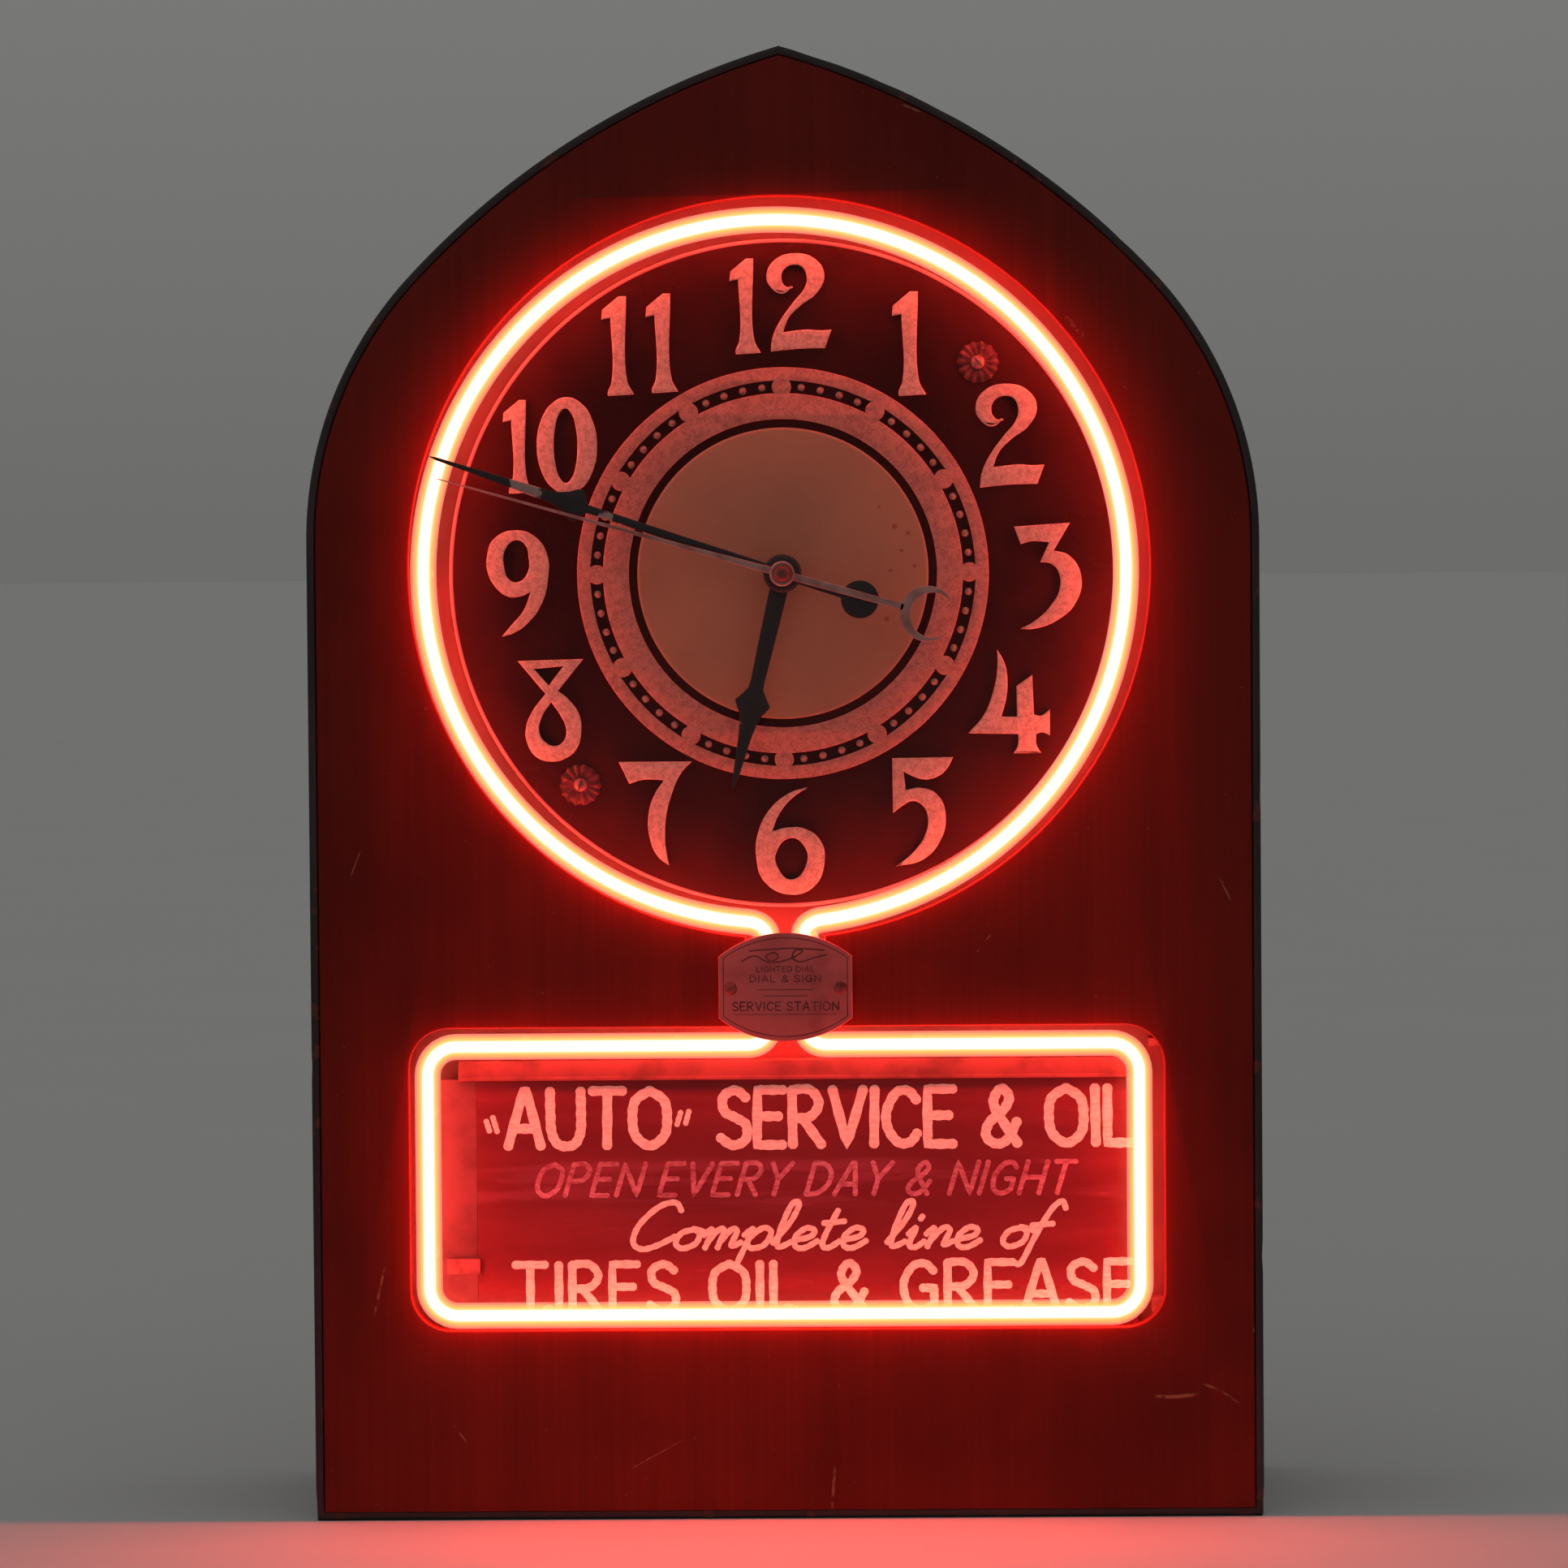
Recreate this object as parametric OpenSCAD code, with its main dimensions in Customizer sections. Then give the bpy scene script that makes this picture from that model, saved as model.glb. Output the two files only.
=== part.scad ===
// Service station advertising clock: a gothic-arch wooden case with a round clock window,
// a neon tube that rings the dial and frames a sign panel, and a synchronous motor movement.
// X is to the right, Z is up and the front looks along -Y. The origin is the centre of the base.
// Depths, called "deep", are measured backwards from the front face of the case.

/* [Case] */
// Overall width of the case
case_w = 432; // [432:1:440]
// Overall depth of the case, front face to back rim
case_deep = 165; // [165:1:200]
// Height at which the straight sides turn into the arch
spring_z = 446; // [446:1:460]
// Radius of each shoulder of the arch
shoulder_r = 175; // [173:1:178]
// Angle over which a shoulder turns before the crown takes over
shoulder_turn = 43; // [41:1:45]
// Radius of each side of the crown
crown_r = 370; // [365:5:380]
// Thickness of the bent side band
shell_t = 9; // [7:0.5:10]
// Thickness of the front board
board_t = 10; // [10:0.5:11]
// Width of the dark bead round the front edge
bead_w = 4; // [3:0.5:5]
// Thickness of the back cover
cover_t = 4; // [3:0.5:4]

/* [Windows] */
// Radius of the round window
dial_window_r = 168; // [168:0.5:170]
// Centre of the round window, X and Z
dial_window_at = [-1.6, 433];
// Width and height of the sign window
sign_window = [343, 137.8];
// Height of the sign window's centre
sign_window_z = 155.7; // [155:0.1:156]
// Corner radius of the sign window
sign_window_r = 18; // [16:0.5:20]

/* [Dial] */
// Radius of the dial plate, a twelve inch dial
dial_r = 152.4; // [152:0.1:152.4]
// Height of the dial's centre
dial_z = 430.4; // [430:0.1:431]
// Outer radius of the raised chapter ring
chapter_r = 93.7; // [93:0.1:95]
// Radius of the raised centre disc
centre_disc_r = 67; // [66:0.1:68]

/* [Neon tube] */
// Outer diameter of the glass tube
tube_d = 12; // [12:0.1:12.4]
// Radius of the ring's centre line
ring_r = 159.35; // [159:0.05:159.5]
// Centre of the ring, X and Z
ring_at = [-3.7, 431.2];
// Left, right, low and high centre lines of the sign's frame
frame_x0 = -163.3; // [-164:0.1:-163]
frame_x1 = 160.4; // [160:0.1:161]
frame_z0 = 93.4; // [93:0.1:94]
frame_z1 = 216.2; // [216:0.1:216.5]

/* [Sign] */
// Left edge and width of the sign panel
sign_x0 = -142; // [-143:0.5:-141]
sign_w = 302; // [300:1:304]
// Low and high edges of the sign panel
sign_z0 = 70; // [68:1:72]
sign_z1 = 200.7; // [200:0.1:201]

/* [Badge] */
// Width and height of the badge, and the height of its straight sides
badge_w = 60.7; // [60:0.1:62]
badge_h = 49.3; // [49:0.1:50]
badge_side = 28; // [26:0.5:30]
// Height of the badge's centre
badge_z = 243; // [243:0.1:243.5]

/* [Hands] */
// Lengths of the hands from the centre
hour_len = 101; // [98:1:102]
minute_len = 169; // [168:0.5:170]
second_len = 162; // [158:1:164]
// Clockwise angles of the hands from twelve
hour_at = 193.4; // [0:0.1:360]
minute_at = 288.8; // [0:0.1:360]
second_at = 285.8; // [0:0.1:360]

/* [Movement] */
// Radii of the seconds arbor and of the set shaft
arbor_r = 1; // [1:0.05:1.05]
set_shaft_r = 1.5; // [1.4:0.05:1.5]
// Radial running clearance of every shaft
run = 0.05; // [0.03:0.01:0.08]
// Tooth modules of the rotor, seconds, centre, cannon and hour pairs
rotor_module = 0.6;
seconds_module = 0.55;
centre_module = 0.35;
cannon_module = 0.75;
hour_module = 0.72;

/* [Power] */
// Width, depth and height of the transformer
can = [120, 76, 86];
// Left edge of the transformer
can_x = -20; // [-20:1:-18]
// Radius of the cable hole in the inlet grommet
inlet_r = 4; // [3.5:0.5:4]

/* [Hidden] */
$fn = 48;

front_y = -case_deep / 2;
half_w = case_w / 2;
shoulder_c = [half_w - shoulder_r, spring_z];
crown_c = shoulder_c - (crown_r - shoulder_r) * [cos(shoulder_turn), sin(shoulder_turn)];
panel_front = 25;
panel_t = 4;
panel_back = panel_front + panel_t;
dial_front = 14;
dial_t = 1.5;
tube_deep = 3;
tube_r = tube_d / 2;
frame_bend = 13;
bend_steps = 6;
ring_steps = 72;
slot_w = 36;
sign_front = 16.5;
sign_t = 2;
rail_h = 8.3;
hub = [0, dial_z];
back_rim = case_deep;
cover_deep = case_deep - 6;
cover_fit = 0.6;
cover_top = shell_t + cover_fit;
frame_w = 14;
frame_t = 12;
batten = 15;
relief = 1.2;

// Depths of the movement's plates and wheels
plate_t = 1.5;
front_plate = 38.5;
back_plate = 62;
hour_wheel_deep = 30.5;
motion_deep = 34;
centre_deep = 42.5;
intermediate_deep = 47;
seconds_deep = 54;
gear_t = 1;
pipe_r = 3.6;
cannon_r = 2.2;

// Tooth counts: rotor to seconds 3.6:1, seconds to centre 60:1, minute to hour 12:1
rotor_teeth = 15;
seconds_teeth = 54;
seconds_leaves = 12;
intermediate_teeth = 72;
intermediate_leaves = 12;
centre_teeth = 120;
cannon_leaves = 12;
motion_teeth = 36;
motion_leaves = 10;
hour_teeth = 40;
set_leaves = 12;

rotor_at = hub - [rotor_module * (rotor_teeth + seconds_teeth) / 2, 0];
coil_half_w = 10;
intermediate_at = hub + [seconds_module * (seconds_leaves + intermediate_teeth) / 2, 0];
motion_at = hub + [0, cannon_module * (cannon_leaves + motion_teeth) / 2];
set_at = motion_at + [0, cannon_module * (motion_teeth + set_leaves) / 2];

// Phase of a wheel that meshes with one whose phase is given, in the direction of the line of centres
function meshed(line, teeth_a, phase_a, teeth_b) =
    line + 180 + 180 / teeth_b - (phase_a - line) * teeth_a / teeth_b;

intermediate_phase = meshed(0, seconds_leaves, 0, intermediate_teeth);
centre_phase = meshed(180, intermediate_leaves, 0, centre_teeth);
rotor_phase = meshed(180, seconds_teeth, 0, rotor_teeth);
motion_phase = meshed(90, cannon_leaves, 0, motion_teeth);
hour_phase = meshed(-90, motion_leaves, 0, hour_teeth);
set_phase = meshed(90, motion_teeth, motion_phase, set_leaves);

// ---- Outlines ----

function arc(c, r, a0, a1, n) =
    [for (i = [0:n]) c + r * [cos(a0 + (a1 - a0) * i / n), sin(a0 + (a1 - a0) * i / n)]];

// Right half of the arch, drawn in by t
function half_arch(t, low) = concat(
    [[half_w - t, low]],
    arc(shoulder_c, shoulder_r - t, 0, shoulder_turn, 16),
    arc(crown_c, crown_r - t, shoulder_turn, acos(-crown_c.x / (crown_r - t)), 14)
);

module arch(t, low = 0) {
    right = half_arch(t, low);
    left = [for (i = [len(right) - 2:-1:0]) [-right[i].x, right[i].y]];
    polygon(concat(right, left));
}

module arch_band(t0, t1) {
    difference() {
        arch(t0);
        arch(t1, -1);
    }
}

module rounded(w, h, r) {
    square([w - 2 * r, h], center = true);
    square([w, h - 2 * r], center = true);
    for (x = [-1, 1], y = [-1, 1])
        translate([x * (w / 2 - r), y * (h / 2 - r)])
            circle(r);
}

module gear_outline(teeth, size, phase) {
    pitch = 360 / teeth;
    root = size * (teeth / 2 - 1.2);
    tip = size * (teeth / 2 + 0.85);
    polygon([
        for (i = [0:teeth - 1], k = [[root, -0.24], [tip, -0.09], [tip, 0.09], [root, 0.24]])
            k[0] * [cos(phase + pitch * (i + k[1])), sin(phase + pitch * (i + k[1]))]
    ]);
}

// ---- Placing: a flat shape spread from one depth to another, and a rod along the depth ----

module slab(deep_0, deep_1) {
    translate([0, front_y + deep_1, 0])
        rotate([90, 0, 0])
            linear_extrude(deep_1 - deep_0)
                children();
}

module rod(at, deep_0, deep_1, r, r2 = undef) {
    translate([at.x, front_y + deep_1, at.y])
        rotate([90, 0, 0])
            cylinder(h = deep_1 - deep_0, r1 = r, r2 = is_undef(r2) ? r : r2);
}

module pipe(at, deep_0, deep_1, outer, inner) {
    difference() {
        rod(at, deep_0, deep_1, outer);
        rod(at, deep_0 - 1, deep_1 + 1, inner);
    }
}

module block(x0, x1, deep_0, deep_1, z0, z1) {
    translate([x0, front_y + deep_0, z0])
        cube([x1 - x0, deep_1 - deep_0, z1 - z0]);
}

module wheel(at, deep, t, teeth, size, phase, bore) {
    slab(deep, deep + t)
        translate(at)
            difference() {
                gear_outline(teeth, size, phase);
                circle(bore);
            }
}

// A row of lightening holes round a wheel's web
module web_holes(at, deep, r_at, r) {
    for (a = [0:72:359])
        rod(at + r_at * [cos(a), sin(a)], deep - 1, deep + 3, r);
}

// A bent bar through corners [x, deep, z, bend radius]; its two ends need no radius
function at3(p) = [p[0], front_y + p[1], p[2]];
function unit(v) = v / norm(v);

function bend_points(a, b, c, r) =
    let (
        d0 = unit(b - a),
        d1 = unit(c - b),
        turn = acos(d0 * d1),
        centre = b + unit(d1 - d0) * r / cos(turn / 2),
        u = unit(b - d0 * r * tan(turn / 2) - centre)
    )
    [for (i = [0:bend_steps])
        centre + r * (u * cos(turn * i / bend_steps) + d0 * sin(turn * i / bend_steps))];

function route(path) =
    let (p = [for (q = path) at3(q)], last = len(p) - 1)
    concat(
        [p[0]],
        [for (i = [1:last - 1]) each bend_points(p[i - 1], p[i], p[i + 1], path[i][3])],
        [p[last]]
    );

// A round bar swept along points, with its section carried round each turn
module sweep(points, r, sides) {
    n = len(points);
    t = [for (i = [0:n - 1]) unit(points[min(i + 1, n - 1)] - points[max(i - 1, 0)])];
    first = unit(cross(t[0], abs(t[0].z) > 0.9 ? [1, 0, 0] : [0, 0, 1]));
    u = [for (i = 0, v = first; i < n;
              v = unit(v - (v * t[min(i + 1, n - 1)]) * t[min(i + 1, n - 1)]), i = i + 1) v];
    polyhedron(
        points = [for (i = [0:n - 1], k = [0:sides - 1])
            points[i] + r * (u[i] * cos(360 * k / sides) + cross(t[i], u[i]) * sin(360 * k / sides))],
        faces = concat(
            [[for (k = [0:sides - 1]) k]],
            [for (i = [0:n - 2], k = [0:sides - 1])
                [i * sides + k, (i + 1) * sides + k, (i + 1) * sides + (k + 1) % sides,
                 i * sides + (k + 1) % sides]],
            [[for (k = [sides - 1:-1:0]) (n - 1) * sides + k]]
        ),
        convexity = 12
    );
}

module bent(path, r) {
    sweep(route(path), r, 8);
}

// ---- Case ----

module front_board() {
    color("#5a2316")
        slab(0, board_t)
            difference() {
                arch(bead_w, bead_w);
                translate(dial_window_at)
                    circle(dial_window_r, $fn = 96);
                translate([0, sign_window_z])
                    rounded(sign_window.x, sign_window.y, sign_window_r);
                translate([0, badge_z])
                    square([slot_w, 60], center = true);
            }
}

module edge_bead() {
    color("#2a1512")
        slab(0, board_t)
            difference() {
                arch(0);
                arch(bead_w, bead_w);
            }
}

module case_shell() {
    color("#4a2014")
        slab(board_t, back_rim)
            arch_band(0, shell_t);
}

module base_board() {
    color("#6b4a30")
        block(-half_w + shell_t, half_w - shell_t, board_t, back_rim, 0, 10);
}

module front_battens() {
    color("#b08a5c") {
        for (s = [-1, 1])
            block(s * (half_w - shell_t - batten / 2) - batten / 2,
                  s * (half_w - shell_t - batten / 2) + batten / 2,
                  board_t, panel_front, 10, spring_z);
        block(-half_w + shell_t + batten, half_w - shell_t - batten, board_t, panel_front, 10, 25);
    }
}

module arch_blocks() {
    color("#b08a5c")
        slab(board_t, panel_front)
            intersection() {
                arch_band(shell_t, shell_t + batten);
                translate([-half_w, spring_z + 1])
                    square([case_w, 260]);
                for (s = [-1, 1], a = [14, 46, 66])
                    translate([s * 30, spring_z - 20])
                        rotate(s * (a - 90))
                            translate([-22, 0])
                                square([44, 260]);
            }
}

module back_frame() {
    color("#b08a5c")
        slab(cover_deep - frame_t, cover_deep)
            intersection() {
                arch_band(shell_t, shell_t + frame_w);
                translate([-half_w, 10])
                    square([case_w, 2 * spring_z]);
            }
}

module back_cover() {
    color("#6e4a2c")
        slab(cover_deep, cover_deep + cover_t)
            difference() {
                arch(cover_top, 10.6);
                translate(set_at)
                    circle(14);
                translate([-110, 45])
                    circle(9);
                for (z = [90:14:160], x = [20, 100])
                    translate([x, z])
                        rounded(60, 6, 2.9);
                for (x = [-40, 0, 40])
                    translate([x, 590 - abs(x) / 2])
                        rounded(26, 6, 2.9);
            }
}

// Screw places along the back frame and the inner panel
function edge_places(t) = [
    for (s = [-1, 1]) each [
        [s * (half_w - t), 40], [s * (half_w - t), 170], [s * (half_w - t), 300],
        [s * (half_w - t), 430],
        [s * (shoulder_c.x + (shoulder_r - t) * cos(38)), spring_z + (shoulder_r - t) * sin(38)],
        [s * (crown_c.x + (crown_r - t) * cos(66)), crown_c.y + (crown_r - t) * sin(66)]
    ]
];

module back_screws() {
    color("#8b8578")
        for (p = edge_places(shell_t + frame_w / 2))
            rod(p, cover_deep + cover_t, cover_deep + cover_t + 1.6, 4, 2.6);
}

module inner_panel() {
    color("#3a1210")
        slab(panel_front, panel_back)
            difference() {
                arch(shell_t + 0.5, 10.6);
                translate(hub)
                    circle(12);
                for (p = [[8.5, 262], [9.5, 226]])
                    translate(p)
                        circle(7);
            }
}

module panel_screws() {
    color("#8b8578")
        for (p = edge_places(shell_t + batten / 2))
            rod(p, panel_back, panel_back + 2, 3.5);
}

// ---- Dial ----

module dial_plate() {
    color("#2b0d0c") {
        difference() {
            union() {
                rod(hub, dial_front, dial_front + dial_t, dial_r, $fn = 120);
                pipe(hub, dial_front - 0.8, dial_front, dial_r, dial_r - 1.2, $fn = 120);
                pipe(hub, dial_front - relief, dial_front, chapter_r, 69.8, $fn = 96);
                rod(hub, dial_front - relief, dial_front, centre_disc_r, $fn = 96);
            }
            rod(hub, 0, 30, pipe_r + 0.6);
            for (a = [15:30:345])
                slab(dial_front - relief - 1, dial_front)
                    translate(hub)
                        polygon(concat(
                            arc([0, 0], 87.5, a - 11.6, a + 11.6, 8),
                            arc([0, 0], 82, a + 11.6, a - 11.6, 8)
                        ));
        }
    }
}

// Hour figures: each outline about its own middle, straight between its points
figure_1 = [
    [3.9, 22.2], [0.5, 22.2], [-6.8, 16.2], [-7.2, 11.8], [-3.2, 12.6], [-2.9, -16], [-4.6, -20.8],
    [-4.4, -22.2], [7.2, -21.6], [6.6, -20.5], [4.3, -16]
];
figure_2 = [
    [-3, 7.9], [-7.9, 4.2], [-13.8, 7.6], [-15.6, 12.6], [-12.3, 19.9], [-1.5, 23.6], [8.9, 19.9],
    [12.3, 12.6], [8.4, 4.2], [0.5, -1.7], [-5.4, -8.1], [-7.7, -14.3], [-1, -13.5], [3.9, -13.1],
    [9.4, -13.5], [15.6, -13.3], [12.3, -22.1], [-1, -22.4], [-13.8, -23.6], [-13, -17], [-9.4, -9.1],
    [-3, -0.2], [3, 7.6], [3.7, 12.6], [1.5, 17], [-2.5, 18], [-6.9, 16], [-8.4, 12.1],
    [-6.9, 8.1], [-4.7, 7.3]
];
figure_3 = [
    [-15.1, 22.3], [10.2, 23.9], [2.8, 11.4], [9.6, 9.2], [15.1, 0], [12.9, -11.8], [4.3, -20.1],
    [-6.8, -24], [-12.3, -23.9], [-6.2, -20.6], [1.1, -13.8], [5.4, -5.9], [5, 1.3], [1.7, 5.3],
    [-3.3, 6.2], [0.7, 15.1], [-6.8, 15.6], [-12.1, 14.4]
];
figure_4 = [
    [-5.1, 23.7], [-1.8, 17.3], [-0.6, 9.7], [-1.4, 0.5], [-3.5, -6.9], [3.6, -7], [3.5, 7],
    [10.7, 12], [11.4, -6.1], [14.6, -6.5], [18.6, -3.7], [18.6, -15.6], [14.9, -14.2], [12.3, -15],
    [12.5, -19.9], [14.6, -23.6], [2, -23.7], [4, -19.9], [4.1, -14.9], [-18.6, -14.4], [-11.4, -6.1],
    [-6.8, 5.7], [-5.2, 14.9]
];
figure_5 = [
    [-14, 24.7], [14, 25], [11, 19.5], [6.1, 15.8], [0, 14.9], [-8.8, 18.3], [-7.9, 10.1],
    [-0.6, 11], [6.7, 7.7], [10.4, -1.5], [7.3, -14.3], [-0.6, -22.2], [-12.6, -25], [-4.9, -18.8],
    [0.9, -10.6], [2.1, -2.1], [-0.6, 3.2], [-4.9, 4.9], [-9.1, 3], [-13.8, -0.6]
];
figure_6 = [
    [8, 24], [-0.3, 21.4], [-9.4, 13.8], [-14.6, 2.9], [-15.3, -6.9], [-11.9, -17.9], [-0.3, -24],
    [10.7, -20.3], [15.3, -9.3], [13.7, -0.2], [6.4, 5.5], [-1.5, 6], [-8, 4.4], [-5.2, 11.4],
    [0.3, 18.5]
];
figure_7 = [
    [-16.6, 23.6], [16.6, 23.6], [11.5, 18], [7.3, 8.7], [4.6, -2.3], [4.4, -14.4], [5.9, -23.6],
    [0.8, -19.5], [-2.9, -10.8], [-3.2, 0.2], [-0.5, 8.7], [3.8, 15.1], [-5.4, 15.4], [-11.9, 13.6]
];
figure_8 = [
    [-14.9, 22.5], [14.9, 23.2], [3.4, 8.9], [8, 5], [12.6, -1.4], [13.7, -8.9], [11.6, -17.4],
    [6.9, -21.6], [0.4, -23.2], [-6.7, -21.1], [-10.9, -14.5], [-11.4, -8], [-8.5, -0.5], [-2.4, 7.5]
];
figure_9 = [
    [-0.3, 24.2], [9.1, 20.4], [13.8, 12], [13.8, 2], [11, -9], [5, -17.5], [-2, -22.5],
    [-7.5, -24.2], [-3.1, -19], [2.5, -12.4], [5.8, -4], [0.8, -6], [-4.2, -6], [-9.7, -2.1],
    [-13.6, 5.4], [-13.9, 12], [-10.6, 20.4]
];
hole_6 = [
    [0.3, 1.3], [6.3, -2.5], [7.3, -10], [0.3, -17.2], [-5.8, -11.5], [-6.4, -5.5]
];
hole_8_top = [
    [-7.3, 18.8], [5.8, 20], [-0.8, 11.3]
];
hole_8_low = [
    [0.2, 3.8], [-4.3, -3.3], [-5.3, -9.8], [-2.4, -14.5], [1.8, -16.1], [5.5, -14.1], [6.9, -8.9],
    [4.6, -2.8]
];
hole_9 = [
    [-0.6, 19.7], [-5.4, 15.7], [-6, 7.3], [-3.6, 1.6], [0.3, 0.7], [4.4, 4.5], [5.1, 12],
    [3.5, 17.6]
];

// A figure's outline, the holes in it, its place from the hub and the size it is cast at
hour_figures = [
    [figure_1, [], [-16.2, 121.3], 0.98], [figure_2, [], [8.3, 123], 0.94],
    [figure_1, [], [58.1, 103.8], 1.07], [figure_2, [], [103.7, 61.8], 1],
    [figure_3, [], [120.4, -2], 1.01], [figure_4, [], [102.4, -59], 1],
    [figure_5, [], [63, -109], 0.99], [figure_6, [hole_6], [2.4, -121.9], 1.02],
    [figure_7, [], [-58.8, -109], 1], [figure_8, [hole_8_top, hole_8_low], [-106.2, -61.6], 1.01],
    [figure_9, [hole_9], [-120.8, -3.7], 1], [figure_1, [], [-120, 58.4], 0.96],
    [figure_1, [], [-74.3, 103.8], 1.02], [figure_1, [], [-54.2, 104.9], 1.02]
];
nought_at = [-97.8, 58.8];
nought = [13.8, 22];
nought_hole = [5.4, 16.9];

module oval(size) {
    scale([size.x / size.y, 1])
        circle(size.y);
}

module dial_numerals() {
    color("#e8c9a0")
        slab(dial_front - 1.8, dial_front)
            translate(hub) {
                for (f = hour_figures)
                    translate(f[2])
                        scale(f[3])
                            difference() {
                                polygon(f[0]);
                                for (hole = f[1])
                                    polygon(hole);
                            }
                translate(nought_at)
                    difference() {
                        oval(nought);
                        oval(nought_hole);
                    }
            }
}

rosette_places = [[89.3, 95.2], [-93, -95.6]];

module dial_rosettes() {
    color("#d8b48c")
        slab(dial_front - 1.2, dial_front)
            for (p = rosette_places)
                translate(hub + p)
                    difference() {
                        union() {
                            circle(8);
                            for (a = [0:24:359])
                                rotate(a)
                                    translate([8, 0])
                                        circle(1.2, $fn = 16);
                        }
                        circle(1.6);
                    }
}

module dial_screws() {
    color("#9a958c")
        for (p = rosette_places) {
            rod(hub + p, dial_front - 3.2, dial_front - 1.2, 3, 2);
        }
}

module dial_standoffs() {
    color("#b98d3f")
        for (x = [-75, 75], z = [-75, 75])
            rod(hub + [x, z], dial_front + dial_t, panel_front, 4);
}

// ---- Neon tube ----

// The ring's two ends, by angle from the bottom
ring_left = -asin(16.3 / ring_r);
ring_right = asin(23.7 / ring_r);

function ring_point(a) = ring_at + ring_r * [sin(a), -cos(a)];

module neon_tube() {
    left = ring_point(ring_left);
    right = ring_point(ring_right);
    left_z = left.y - (-8.5 - left.x) * tan(-ring_left);
    right_z = right.y - (right.x - 8.5) * tan(ring_right);
    ring = [for (i = [1:ring_steps - 1])
        let (p = ring_point(ring_right + (360 - ring_right + ring_left) * i / ring_steps))
        at3([p.x, tube_deep, p.y])];
    color("#ffb070")
        sweep(concat(
            route([
                [8.5, 58, 262],
                [8.5, 13, 262, 9],
                [8.5, tube_deep, right_z, 9],
                [right.x, tube_deep, right.y]
            ]),
            ring,
            route([
                [left.x, tube_deep, left.y],
                [-8.5, tube_deep, left_z, 9],
                [-8.5, 12.5, 262, 9],
                [-8.5, 12.5, 226, 9],
                [-8.5, tube_deep, frame_z1, 9],
                [frame_x0, tube_deep, frame_z1, frame_bend],
                [frame_x0, tube_deep, frame_z0, frame_bend],
                [frame_x1, tube_deep, frame_z0, frame_bend],
                [frame_x1, tube_deep, frame_z1, frame_bend],
                [9.5, tube_deep, frame_z1, 9],
                [9.5, 13, 226, 9],
                [9.5, 58, 226]
            ])
        ), tube_r, 12);
}

electrode_places = [[8.5, 262], [9.5, 226]];

module tube_electrodes() {
    color("#c8c4ba")
        for (p = electrode_places)
            rod(p, 58, 104, 7.5);
}

module electrode_sleeves() {
    color("#e6e0d2")
        for (p = electrode_places)
            difference() {
                rod(p, 84, 112, 9.5);
                rod(p, 83, 104, 7.5);
                rod(p, 103, 113, 3);
            }
}

module tube_post(at, foot) {
    rod(at, tube_deep + tube_r, foot, 2.6);
    rod(at, foot - 2, foot, 5);
}

module tube_supports() {
    color("#d9d3c6") {
        for (a = [30:48:350])
            tube_post(ring_point(a), panel_front);
        for (x = [-120, -50, 60, 130])
            tube_post([x, frame_z1], panel_front);
        for (z = [120, 185])
            tube_post([frame_x0, z], panel_front);
        for (x = [-110, 0, 110])
            tube_post([x, frame_z0], sign_front);
    }
}

// ---- Badge and sign ----

badge_rise = (badge_h - badge_side) / 2;
badge_off = 3.4;
badge_t = 1;
badge_hole_x = 25;
badge_arc_r = (badge_w * badge_w / 4 + badge_rise * badge_rise) / (2 * badge_rise);

module badge_outline() {
    intersection() {
        square([badge_w, badge_h], center = true);
        translate([0, badge_h / 2 - badge_arc_r])
            circle(badge_arc_r, $fn = 96);
        translate([0, badge_arc_r - badge_h / 2])
            circle(badge_arc_r, $fn = 96);
    }
}

module badge() {
    color("#7c5a50")
        slab(-badge_off - badge_t, -badge_off)
            translate([0, badge_z])
                badge_outline();
}

module badge_screws() {
    color("#6a4a44")
        for (s = [-1, 1])
            rod([s * badge_hole_x, badge_z], -badge_off - badge_t - 1, -badge_off - badge_t, 1.8, 3);
}

// Collars that hold the badge off the board, clear of the tube's legs
module badge_spacers() {
    color("#b98d3f")
        for (s = [-1, 1])
            rod([s * badge_hole_x, badge_z], -badge_off, 0, 2.6);
}

module sign_panel() {
    color("#8c1c16")
        block(sign_x0, sign_x0 + sign_w, sign_front, sign_front + sign_t, sign_z0, sign_z1);
}

module sign_rails() {
    color("#a8201a")
        for (z = [sign_z0 - rail_h, sign_z1])
            block(sign_x0 - 8, sign_x0 + sign_w + 4, 12, panel_front, z, z + rail_h);
}

module sign_side_strip() {
    color("#b02a20")
        block(sign_x0 - 13, sign_x0, sign_front, sign_front + sign_t, sign_z0, sign_z1);
}

module sign_clips() {
    color("#c9a08c") {
        block(sign_x0 - 14, sign_x0 + 1, sign_front - 1.5, sign_front, 111, 118);
        block(165, 171, 12, panel_front, 214, 217.5);
        block(166, 171, 12, panel_front, 92, 99);
    }
}

// ---- Power ----

can_front = 52;
bushing_places = [[9.5, 90], [70, 90]];

module transformer_can() {
    color("#2b2b2e") {
        block(can_x, can_x + can.x, can_front, can_front + can.y, 10, 10 + can.z);
        for (x = [can_x - 12, can_x + can.x])
            difference() {
                block(x, x + 12, can_front + 8, can_front + can.y - 8, 10, 12);
                for (deep = [can_front + 18, can_front + can.y - 18])
                    translate([x + 6, front_y + deep, 9])
                        cylinder(h = 4, r = 2.5);
            }
    }
}

module transformer_bushings() {
    color("#e8e4da")
        for (p = bushing_places)
            translate([p.x, front_y + p.y, 10 + can.z])
                rotate_extrude()
                    polygon([[0, 0], [11, 0], [11, 4], [8, 6], [10, 10], [7, 13], [9, 17], [6, 20],
                             [6, 26], [0, 26]]);
}

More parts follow.
